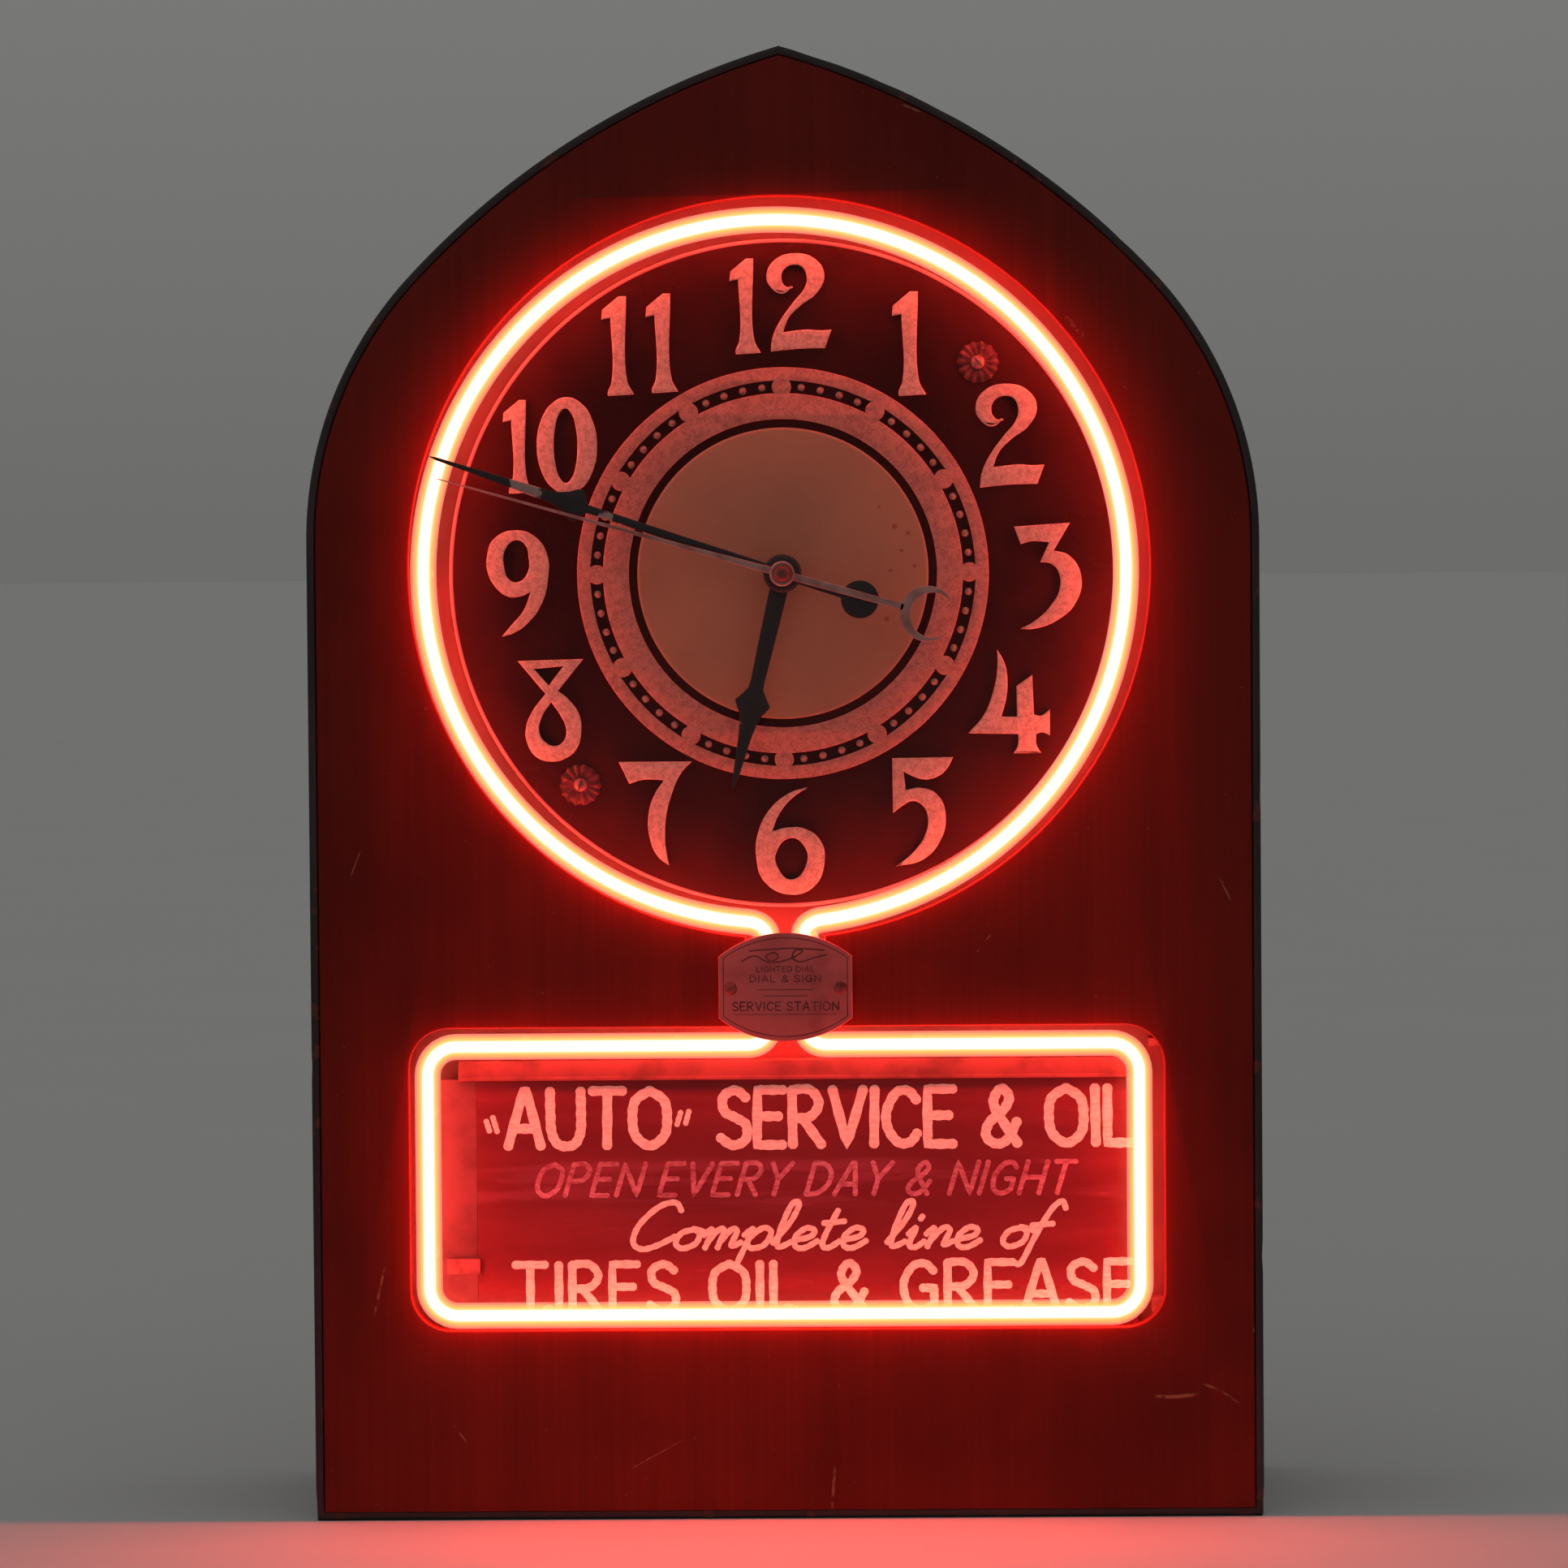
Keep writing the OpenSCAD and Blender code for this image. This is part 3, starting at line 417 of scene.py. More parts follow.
def turned(name, profile, x, z, steps=48, angle=35):
    """A profile of (radius, depth) in mm spun about an axis that runs from front to back."""
    piece = wire(name, [[(r * MM, deep * MM, 0, 1) for r, deep in profile]])
    bpy.ops.object.mode_set(mode="EDIT")
    bpy.ops.mesh.select_all(action="SELECT")
    bpy.ops.mesh.spin(steps=steps, angle=2 * math.pi, center=(0, 0, 0), axis=(0, 1, 0))
    bpy.ops.object.mode_set(mode="OBJECT")
    piece.location = (x * MM, front_y, z * MM)
    settle(piece)
    close_up(piece, angle)
    return piece


def dome(r, deep, high, steps=5):
    """The profile of a screw head standing forward from its seat, or back if its height is below zero."""
    rise = [(r * math.cos(a), deep - high * math.sin(a)) for a in
            [math.pi / 2 * (steps - i) / steps for i in range(steps + 1)]]
    under = deep + math.copysign(0.6, high)
    return [(max(p[0], 0.0), p[1]) for p in rise] + [(r, under), (0, under)]


def slotted(name, x, z, r, deep, high, turn):
    """A domed screw head with a slot sawn across it."""
    head = turned(name, dome(r, deep, high), x, z, 28, 50)
    top = front_y + (deep - high) * MM
    bpy.ops.mesh.primitive_cube_add(size=1, location=(x * MM, top, z * MM), rotation=(0, turn, 0))
    cutter = bpy.context.object
    cutter.scale = (r * 2.4 * MM, abs(high) * 0.9 * MM, r * 0.3 * MM)
    settle(cutter)
    modify(head, "BOOLEAN", object=cutter, operation="DIFFERENCE", solver="EXACT")
    bpy.data.objects.remove(cutter)
    return head


def joined(name, pieces):
    alone(pieces[0])
    for other in pieces[1:]:
        other.select_set(True)
    if len(pieces) > 1:
        bpy.ops.object.join()
    pieces[0].name = name
    return pieces[0]


random.seed(4)
cover_deep = 159.0
cover_t = 4.0
cover_inset = 16.0
sx = half_w - shoulder_r
cx = sx - (crown_r - shoulder_r) * math.cos(shoulder_turn)
cz = spring_z - (crown_r - shoulder_r) * math.sin(shoulder_turn)
cover_places = [(half_w - cover_inset, z) for z in (40, 170, 300, 430)]
cover_places.append((sx + (shoulder_r - cover_inset) * math.cos(math.radians(38)),
                     spring_z + (shoulder_r - cover_inset) * math.sin(math.radians(38))))
cover_places.append((cx + (crown_r - cover_inset) * math.cos(math.radians(66)),
                     cz + (crown_r - cover_inset) * math.sin(math.radians(66))))
heads = []
for px, pz in cover_places:
    for side in (-1, 1):
        turn = random.uniform(0, math.pi)
        heads.append(slotted("cover_screw", side * px, pz, 3.9, cover_deep + cover_t, -1.5, turn))
dress(joined("cover_screws", heads), plated_steel, "case", "steel", "back_screws")


# ---- Inner panel ----
# A thin plywood sheet behind the windows, painted dull oxblood, with holes for the arbors and the two
# glass legs of the tube. The dial hangs from it on four brass pillars.

oxblood = Finish("oxblood_paint", roughness=0.5)
brushing = oxblood.noise(1.0, 4.0, (500, 500, 20))
soot = oxblood.noise(12.0, 3.0)
oxblood.set("Base Color", oxblood.mix((0.26, 0.036, 0.032), (0.14, 0.022, 0.019), soot.ramp(0.35, 0.75)))
oxblood.set("Roughness", brushing.ramp(0.3, 0.7, 0.40, 0.58))
oxblood.bump(brushing, 0.06, 0.6)
finish_node("inner_panel", oxblood)
finish_node("panel_screws", plated_steel)


# ---- Dial ----
# A black enamelled steel plate with a rolled rim. The chapter ring, the centre disc and the hour
# numerals are cast relief, sprayed cream over a sanded face, and they stand proud of the plate.

dial_front = 14.0
dial_t = 1.5
relief = 1.2
dial_r = 152.4
arbor_hole_r = 4.2
chapter = (70.1, 93.7)
window_r = (81.9, 87.6)
boss_r = 4.4
dot_r = 1.75
dot_at = 84.9
centre_r = 66.3

enamel = Finish("black_dial_enamel", roughness=0.3, specular_ior_level=0.15)
haze = enamel.noise(26.0, 4.0)
specks = enamel.noise(420.0, 2.0).ramp(0.76, 0.80)
out_x, out_z = enamel.axis("X") * 1000 - hub[0], enamel.axis("Z") * 1000 - hub[1]
from_edge = abs((out_x * out_x + out_z * out_z).root() - (dial_r - 1.2))
# Painted highlight: a pale red line along the crest of the rolled rim, where the tube's light catches the
# edge, broken up by the haze
rim_highlight = from_edge.ramp(0.5, 1.1, 1, 0) * haze.ramp(0.2, 0.6, 0.5, 1.0)
black = enamel.mix((0.044, 0.0058, 0.0048), (0.062, 0.0082, 0.0064), haze.ramp(0.35, 0.7))
speckled = enamel.mix(black, (0.16, 0.05, 0.04), specks * 0.5)
enamel.set("Base Color", enamel.mix(speckled, (0.55, 0.22, 0.20), rim_highlight))
enamel.set("Roughness", haze.ramp(0.3, 0.7, 0.26, 0.42))
enamel.bump(enamel.noise(700.0, 2.0), 0.02, 0.5)

dial_back = dial_front + dial_t
rim_shape = [(2.6, 0), (1.9, -0.45), (1.1, -0.75), (0.4, -0.45), (0, 0.2), (0, dial_t - 0.2), (0.3, dial_t)]
rim_profile = [(dial_r - inwards, dial_front + down) for inwards, down in rim_shape]
dial = turned("dial_disc", [(arbor_hole_r, dial_front)] + rim_profile
              + [(arbor_hole_r, dial_back), (arbor_hole_r, dial_front)], *hub, 160)
dress(dial, enamel, "case", "dial_paint", "dial_plate")


def sanded(name, light, dark, grit=0.5):
    cream = Finish(name, roughness=0.62)
    grains = cream.noise(950.0, 2.0)
    lumps = cream.noise(380.0, 2.0)
    patch = cream.noise(20.0, 3.0)
    shade = cream.mix(dark, light, (grains * 0.5 + lumps * 0.5).ramp(0.35, 0.62))
    cream.set("Base Color", cream.mix(shade, tuple(c * 0.8 for c in dark), patch.ramp(0.45, 0.8) * 0.3))
    cream.set("Roughness", 0.55 + patch * 0.15)
    cream.bump(grains * 0.5 + lumps * 0.7, 0.28, grit)
    return cream


ring_cream = sanded("sanded_cream_ring", (0.42, 0.215, 0.165), (0.26, 0.135, 0.100), 0.55)


def on_dial(r, turn):
    """A place on the dial, its turn clockwise from twelve in degrees."""
    a = math.radians(turn)
    return (hub[0] + r * math.sin(a), hub[1] + r * math.cos(a))


def minute_window(middle):
    """A slot along the chapter ring, its two ends hollowed round the hour bosses."""
    half_high = (window_r[1] - window_r[0]) / 2
    reach = math.asin(half_high / boss_r)
    out = []
    for side in (1, -1):
        bx, bz = on_dial(sum(window_r) / 2, middle + 15 * side)
        face = math.radians(-(middle + 15 * side)) + (math.pi if side > 0 else 0)
        out += arc(bx, bz, boss_r, face - reach, face + reach, 6)
        ends = [middle + side * 12.4 * (1 - i / 9) for i in range(1, 18)]
        r = window_r[0] if side > 0 else window_r[1]
        out += [on_dial(r, a) for a in ends]
    return out


ring_outlines = [arc(*hub, chapter[1], 0, 2 * math.pi, 144)[:-1],
                 arc(*hub, chapter[0], 0, 2 * math.pi, 120)[:-1]]
ring_outlines += [minute_window(a) for a in range(15, 360, 30)]
ring = plate("chapter_ring", ring_outlines, dial_front - relief, dial_front, 0.45, 2)
dots = []
for middle in range(15, 360, 30):
    for step in (-9, -3, 3, 9):
        dots.append(turned("dot", dome(dot_r, dial_front, 1.0, 3), *on_dial(dot_at, middle + step), 14, 60))
dress(joined("chapter_ring", [ring] + dots), ring_cream, "case", "cream_relief", "dial_plate")

disc_tan = Finish("tan_centre_paint", roughness=0.55)
mottle = disc_tan.noise(16.0, 4.0)
tooth = disc_tan.noise(900.0, 2.0)
spots = None
rust_spots = [(51, 21, 1.3), (54, 10, 0.9), (57, 18, 1.1), (49, 1, 0.8), (60, 3, 0.9), (47, -21, 1.2),
              (44, 30, 0.7)]
for across, up, spot_r in rust_spots:
    off_x = disc_tan.axis("X") * 1000 - (hub[0] + across)
    off_z = disc_tan.axis("Z") * 1000 - (hub[1] + up)
    spot = (off_x * off_x + off_z * off_z).root().ramp(spot_r * 0.5, spot_r * 1.3, 1, 0)
    spots = spot if spots is None else spots.most(spot)
tan = disc_tan.mix((0.212, 0.150, 0.086), (0.265, 0.188, 0.107), mottle.ramp(0.3, 0.7))
disc_tan.set("Base Color", disc_tan.mix(tan, (0.16, 0.045, 0.03), spots * 0.8))
disc_tan.set("Roughness", mottle.ramp(0.3, 0.7, 0.5, 0.62))
disc_tan.bump(tooth, 0.05, 0.5)
disc_face = dial_front - relief
disc = turned("centre_disc", [
    (arbor_hole_r, dial_front), (arbor_hole_r, disc_face), (centre_r - 1.4, disc_face),
    (centre_r - 0.5, disc_face + 0.15), (centre_r, disc_face + 0.6), (centre_r, dial_front),
    (arbor_hole_r, dial_front)], *hub, 128)
dress(disc, disc_tan, "case", "cream_relief", "dial_plate")

# Hour numerals: heavy flared figures. Each outline is in mm about its own middle, a third value of 1 is
# a corner, and every figure is listed with its place from the hub and its height.
figures = {
    "1": [[(3.9, 22.2, 1), (0.5, 22.2, 1), (-6.8, 16.2, 1), (-7.2, 11.8, 1), (-3.2, 12.6, 1), (-2.9, -16),
           (-4.6, -20.8), (-4.4, -22.2, 1), (7.2, -21.6, 1), (6.6, -20.5), (4.3, -16)]],
    "2": [[(-3, 7.9, 1), (-7.9, 4.2), (-13.8, 7.6), (-15.6, 12.6), (-12.3, 19.9), (-1.5, 23.6), (8.9, 19.9),
           (12.3, 12.6), (8.4, 4.2), (0.5, -1.7), (-5.4, -8.1), (-7.7, -14.3, 1), (-1, -13.5), (3.9, -13.1),
           (9.4, -13.5), (15.6, -13.3, 1), (12.3, -22.1, 1), (-1, -22.4), (-13.8, -23.6, 1), (-13, -17),
           (-9.4, -9.1), (-3, -0.2), (3, 7.6), (3.7, 12.6), (1.5, 17), (-2.5, 18), (-6.9, 16), (-8.4, 12.1),
           (-6.9, 8.1), (-4.7, 7.3)]],
    "3": [[(-15.1, 22.3, 1), (10.2, 23.9, 1), (2.8, 11.4, 1), (9.6, 9.2), (15.1, 0), (12.9, -11.8),
           (4.3, -20.1), (-6.8, -24), (-12.3, -23.9, 1), (-6.2, -20.6), (1.1, -13.8), (5.4, -5.9),
           (5, 1.3), (1.7, 5.3), (-3.3, 6.2, 1), (0.7, 15.1, 1), (-6.8, 15.6), (-12.1, 14.4, 1)]],
    "4": [[(-5.1, 23.7, 1), (-1.8, 17.3), (-0.6, 9.7), (-1.4, 0.5), (-3.5, -6.9, 1), (3.6, -7, 1),
           (3.5, 7, 1), (10.7, 12, 1), (11.4, -6.1, 1), (14.6, -6.5), (18.6, -3.7, 1), (18.6, -15.6, 1),
           (14.9, -14.2), (12.3, -15, 1), (12.5, -19.9), (14.6, -23.6, 1), (2, -23.7, 1), (4, -19.9),
           (4.1, -14.9, 1), (-18.6, -14.4, 1), (-11.4, -6.1), (-6.8, 5.7), (-5.2, 14.9)]],
    "5": [[(-14, 24.7, 1), (14, 25, 1), (11, 19.5), (6.1, 15.8), (0, 14.9), (-8.8, 18.3, 1), (-7.9, 10.1, 1),
           (-0.6, 11), (6.7, 7.7), (10.4, -1.5), (7.3, -14.3), (-0.6, -22.2), (-12.6, -25, 1), (-4.9, -18.8),
           (0.9, -10.6), (2.1, -2.1), (-0.6, 3.2), (-4.9, 4.9), (-9.1, 3), (-13.8, -0.6, 1)]],
    "6": [[(8, 24, 1), (-0.3, 21.4), (-9.4, 13.8), (-14.6, 2.9), (-15.3, -6.9), (-11.9, -17.9), (-0.3, -24),
           (10.7, -20.3), (15.3, -9.3), (13.7, -0.2), (6.4, 5.5), (-1.5, 6), (-8, 4.4, 1), (-5.2, 11.4),
           (0.3, 18.5)],
          [(0.3, 1.3), (6.3, -2.5), (7.3, -10), (0.3, -17.2), (-5.8, -11.5), (-6.4, -5.5)]],
    "7": [[(-16.6, 23.6, 1), (16.6, 23.6, 1), (11.5, 18), (7.3, 8.7), (4.6, -2.3), (4.4, -14.4),
           (5.9, -23.6, 1), (0.8, -19.5), (-2.9, -10.8), (-3.2, 0.2), (-0.5, 8.7), (3.8, 15.1, 1),
           (-5.4, 15.4), (-11.9, 13.6, 1)]],
    "8": [[(-14.9, 22.5, 1), (14.9, 23.2, 1), (3.4, 8.9, 1), (8, 5), (12.6, -1.4), (13.7, -8.9), 
           (11.6, -17.4), (6.9, -21.6), (0.4, -23.2), (-6.7, -21.1), (-10.9, -14.5), (-11.4, -8),
           (-8.5, -0.5), (-2.4, 7.5, 1)],
          [(-7.3, 18.8, 1), (5.8, 20, 1), (-0.8, 11.3, 1)],
          [(0.2, 3.8, 1), (-4.3, -3.3), (-5.3, -9.8), (-2.4, -14.5), (1.8, -16.1), (5.5, -14.1), (6.9, -8.9),
           (4.6, -2.8)]],
    "9": [[(-0.3, 24.2), (9.1, 20.4), (13.8, 12), (13.8, 2), (11, -9), (5, -17.5), (-2, -22.5), 
           (-7.5, -24.2, 1), (-3.1, -19), (2.5, -12.4), (5.8, -4, 1), (0.8, -6), (-4.2, -6), (-9.7, -2.1),
           (-13.6, 5.4), (-13.9, 12), (-10.6, 20.4)],
          [(-0.6, 19.7), (-5.4, 15.7), (-6, 7.3), (-3.6, 1.6), (0.3, 0.7), (4.4, 4.5), (5.1, 12),
           (3.5, 17.6)]],
    "0": [[(13.8 * math.cos(a), 22.2 * math.sin(a)) for a in [math.pi * i / 6 for i in range(12)]],
          [(5.4 * math.cos(a) - 0.6, 17 * math.sin(a)) for a in [math.pi * i / 6 for i in range(12)]]],
}
figure_high = {"1": 44.4, "2": 47.2, "3": 47.9, "4": 47.4, "5": 50, "6": 48, "7": 47.2, "8": 46.4,
               "9": 48.4, "0": 44.4}
hours = [
    ("12", [("1", -16.2, 121.3, 43.4), ("2", 8.3, 123.0, 44.5)]), ("1", [("1", 58.1, 103.8, 47.4)]),
    ("2", [("2", 103.7, 61.8, 47.1)]), ("3", [("3", 120.4, -2.0, 48.2)]), ("4", [("4", 102.4, -59.0, 47.4)]),
    ("5", [("5", 63.0, -109.0, 49.6)]), ("6", [("6", 2.4, -121.9, 48.9)]),
    ("7", [("7", -58.8, -109.0, 47.4)]), ("8", [("8", -106.2, -61.6, 46.7)]),
    ("9", [("9", -120.8, -3.7, 48.5)]), ("10", [("1", -120.0, 58.4, 42.6), ("0", -97.8, 58.8, 44.1)]),
    ("11", [("1", -74.3, 103.8, 45.2), ("1", -54.2, 104.9, 45.2)]),
]
numeral_cream = sanded("sanded_cream_numerals", (0.52, 0.395, 0.315), (0.33, 0.245, 0.190), 0.8)
numeral_high = 1.9
for hour, parts in hours:
    made = []
    for figure, fx, fz, high in parts:
        size = high / figure_high[figure]
        outlines = [[(hub[0] + fx + p[0] * size, hub[1] + fz + p[1] * size, *p[2:]) for p in outline]
                    for outline in figures[figure]]
        made.append(plate("figure", outlines, dial_front - numeral_high, dial_front, 0.75, 3, True, 50))
    dress(joined("numeral_" + hour, made), numeral_cream, "case", "cream_relief", "dial_numerals")


# ---- Dial rosettes ----
# Two ruffled brass washers under round headed screws that hold the dial's face to its pillars. They
# were sprayed along with the dial, so only the screws still shine.

rosette_places = [(89.3, 95.2), (-93.0, -95.6)]
rosette_r = 9.2
lobes = 14
red_brass = metal("painted_brass_washer", (0.15, 0.026, 0.024), (0.07, 0.013, 0.012), 0.38, 240, 0.35)
screw_bright = metal("bright_dial_screw", (0.40, 0.16, 0.14), (0.20, 0.08, 0.07), 0.4, 200, 0.6)
for i, (rx, rz) in enumerate(rosette_places):
    steps = lobes * 8
    profile = [(0, 1.0), (2.2, 1.0), (3.2, 0.5), (4.4, 0.45), (5.6, 0.75), (6.8, 0.95), (7.8, 0.85),
               (8.6, 0.5), (rosette_r, 0.1), (rosette_r, -0.1), (0, -0.1)]
    washer = turned("rosette_" + str(i + 1), [(r, dial_front - 0.3 - up) for r, up in profile],
                    hub[0] + rx, hub[1] + rz, steps, 60)
    for vertex in washer.data.vertices:
        ox, oz = vertex.co.x - (hub[0] + rx) * MM, vertex.co.z - (hub[1] + rz) * MM
        r, a = math.hypot(ox, oz) / MM, math.atan2(oz, ox)
        if r > 3 and vertex.co.y < front_y + (dial_front - 0.25) * MM:
            wave = math.cos(a * lobes + 0.5 * math.sin(3 * a + i))
            reach = (r - 3) / (rosette_r - 3)
            vertex.co.y -= (wave * 0.55 + 0.25 * math.sin(a * 5 + i)) * reach * 0.9 * MM
            scale = 1 + 0.05 * wave * reach
            vertex.co.x = (hub[0] + rx) * MM + ox * scale
            vertex.co.z = (hub[1] + rz) * MM + oz * scale
    dress(washer, red_brass, "case", "cream_relief", "dial_rosettes")
    head = slotted("rosette_screw_" + str(i + 1), hub[0] + rx, hub[1] + rz, 3.1, dial_front - 1.3, 2.0,
                   0.9 + i)
    dress(head, screw_bright, "case", "steel", "dial_screws")

turned_brass = metal("turned_brass", (0.62, 0.42, 0.17), (0.34, 0.21, 0.08), 0.26)
finish_node("dial_standoffs", turned_brass)


# ---- Neon tube ----
# One glass tube bent by hand: a ring round the dial and a frame round the sign, its ends turned back
# behind the badge. The gas glows orange-red inside clear glass, so the bore is white hot to the eye
# and the wall round it deep orange.

tube_deep = 3.0
tube_low, tube_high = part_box("neon_tube")
tube_r = 6.0
frame_x = (tube_low[0] / MM + tube_r, tube_high[0] / MM - tube_r)
frame_z = (tube_low[2] / MM + tube_r, 216.2)
ring_at = (-3.7, 431.2)
ring_r = 159.35
frame_bend = 13.0
leg_bend = 9.0
ring_left = -math.asin(16.3 / ring_r)
ring_right = math.asin(23.7 / ring_r)


def ring_point(a):
    return (ring_at[0] + ring_r * math.sin(a), tube_deep, ring_at[1] - ring_r * math.cos(a))


def bends(path, steps=8):
    """A route in mm through corners (across, deep, up, bend radius), each corner bent round."""
    out = [Vector(path[0][:3])]
    for before, corner, after in zip(path, path[1:], path[2:]):
        b = Vector(corner[:3])
        d0, d1 = (b - Vector(before[:3])).normalized(), (Vector(after[:3]) - b).normalized()
        turn = d0.angle(d1)
        centre = b + (d1 - d0).normalized() * corner[3] / math.cos(turn / 2)
        u = (b - d0 * corner[3] * math.tan(turn / 2) - centre) / corner[3]
        for i in range(steps + 1):
            a = turn * i / steps
            out.append(centre + corner[3] * (u * math.cos(a) + d0 * math.sin(a)))
    return out + [Vector(path[-1][:3])]


left, right = ring_point(ring_left), ring_point(ring_right)
left_z = left[2] - (-8.5 - left[0]) * math.tan(-ring_left)
right_z = right[2] - (right[0] - 8.5) * math.tan(ring_right)
leg_z = (262.0, 226.0)
sweep = 2 * math.pi - ring_right + ring_left
tube_route = bends([(8.5, 58, leg_z[0]), (8.5, 13, leg_z[0], leg_bend),
                    (8.5, tube_deep, right_z, leg_bend), right])
tube_route += [Vector(ring_point(ring_right + sweep * i / 200)) for i in range(1, 200)]
tube_route += bends([
    left, (-8.5, tube_deep, left_z, leg_bend), (-8.5, 12.5, leg_z[0], leg_bend),
    (-8.5, 12.5, leg_z[1], leg_bend), (-8.5, tube_deep, frame_z[1], leg_bend),
    (frame_x[0], tube_deep, frame_z[1], frame_bend), (frame_x[0], tube_deep, frame_z[0], frame_bend),
    (frame_x[1], tube_deep, frame_z[0], frame_bend), (frame_x[1], tube_deep, frame_z[1], frame_bend),
    (9.5, tube_deep, frame_z[1], leg_bend), (9.5, 13, leg_z[1], leg_bend), (9.5, 58, leg_z[1])])


def bar(name, route, r, sides, forward=0.0):
    """A round bar along a route in mm, its radius in mm, with closed ends."""
    line = [(x * MM, front_y + (deep - forward) * MM, z * MM, 1) for x, deep, z in route]
    piece = wire(name, [line], r * MM, sides // 2 - 1)
    close_up(piece, 60)
    return piece


def glow(name, colour, share):
    """Light given off: by the whole surface if its share is one, else by a veil over what is behind it."""
    gas = Finish(name, roughness=0.5, specular_ior_level=0.0 if share < 1 else 0.1)
    strength = max(colour) / share
    flicker = gas.noise(60.0, 2.0).ramp(0.2, 0.8, 0.97, 1.0)
    tint = tuple(c / max(colour) for c in colour)
    gas.set("Base Color", (0.0, 0.0, 0.0)).set("Emission Strength", strength).set("Alpha", share)
    gas.set("Emission Color", gas.mix((0, 0, 0), tint, flicker))
    return gas


# Layers from the white hot core out to the glass: radius, light given off, share of what is behind hidden
tube_layers = [
    ("gas_core", 2.5, (7.0, 1.25, 1.02), 1.0), ("gas_inner", 3.1, (0.20, 0.140, 0.100), 0.04),
    ("gas_middle", 3.9, (0.16, 0.105, 0.008), 0.04), ("gas_outer", 4.8, (0.16, 0.100, 0.002), 0.04),
    ("gas_edge", 5.4, (0.16, 0.045, 0.010), 0.04), ("glass_wall", 5.95, (0.38, 0.105, 0.074), 0.05),
]
for name, r, light, share in tube_layers:
    layer = bar("neon_" + name, tube_route, r, 20)
    dress(layer, glow(name, light, share), "case", "neon_glass", "neon_tube")
    layer.visible_shadow = False

# The light that the gas throws forward and on the board comes from a lamp along the same route
lamp = bar("tube_light", tube_route[10:-10], 4.6, 8, 2.4)
lamp_light = Finish("tube_light")
lamp_light.set("Base Color", (0.0, 0.0, 0.0))
lamp_light.set("Emission Color", (1.0, 0.05, 0.04)).set("Emission Strength", 19.0)
lamp.data.materials.append(lamp_light.material)
lamp.visible_camera = lamp.visible_shadow = lamp.visible_glossy = False

clear_glass = Finish("clear_glass", roughness=0.08, specular_ior_level=0.6)
film = clear_glass.noise(40.0, 3.0)
clear_glass.set("Base Color", clear_glass.mix((0.75, 0.70, 0.66), (0.50, 0.40, 0.34), film.ramp(0.3, 0.8)))
clear_glass.set("Roughness", film.ramp(0.3, 0.8, 0.05, 0.16))
glazed = Finish("glazed_porcelain", roughness=0.18, coat_weight=0.5)
crackle = glazed.noise(90.0, 4.0)
glazed.set("Base Color", glazed.mix((0.78, 0.74, 0.66), (0.60, 0.52, 0.42), crackle.ramp(0.5, 0.8)))
glazed.bump(crackle, 0.05, 0.4)
finish_node("tube_electrodes", plated_steel)
finish_node("electrode_sleeves", glazed)
panel_deep, sheet_deep = 25.0, 16.5
ring_places = [ring_point(math.radians(a)) for a in range(30, 350, 48)]
post_places = [(px, pz, panel_deep) for px, deep, pz in ring_places]
post_places += [(px, frame_z[1], panel_deep) for px in (-120, -50, 60, 130)]
post_places += [(frame_x[0], pz, panel_deep) for pz in (120, 185)]
post_places += [(px, frame_z[0], sheet_deep) for px in (-110, 0, 110)]
post_head = [(0, 9.2), (2.6, 9.2), (3.0, 9.9), (2.4, 11.0), (1.7, 12.0)]
post_foot = [(1.7, 2.4), (2.6, 1.4), (3.4, 0.8), (3.4, 0), (0, 0)]
posts = [turned("post", post_head + [(r, foot - up) for r, up in post_foot], px, pz, 20)
         for px, pz, foot in post_places]
dress(joined("glass_tube_posts", posts), clear_glass, "case", "porcelain", "tube_supports")


# ---- Badge ----
# An etched zinc plate screwed over the slot where the tube's four legs pass through the board. It has
# an inset border and faint dark lettering, and two round headed screws.

badge_z = 243.0
badge_w, badge_h = 60.7, 49.3
badge_side = 14.0
badge_rise = badge_h / 2 - badge_side


def badge_outline(inset):
    """Straight sides, and a top and a bottom bowed outwards."""
    w, side, rise = badge_w / 2 - inset, badge_side - inset * 0.35, badge_rise - inset * 0.65
    r = (w * w + rise * rise) / (2 * rise)
    half = math.asin(w / r)
    top = arc(0, badge_z + side + rise - r, r, math.pi / 2 - half, math.pi / 2 + half, 20)
    return top + [(x, 2 * badge_z - z) for x, z in reversed(top)]


zinc = metal("etched_zinc", (0.58, 0.120, 0.115), (0.44, 0.085, 0.080), 0.5, 45, 0.3)
etch = metal("etched_line", (0.210, 0.042, 0.040), (0.110, 0.024, 0.023), 0.6, 80, 0.2)
badge_front = -4.4
badge = plate("badge_plate", [badge_outline(0)], badge_front, badge_front + 1.0, 0.35, 2)
dress(badge, zinc, "case", "badge_metal", "badge")

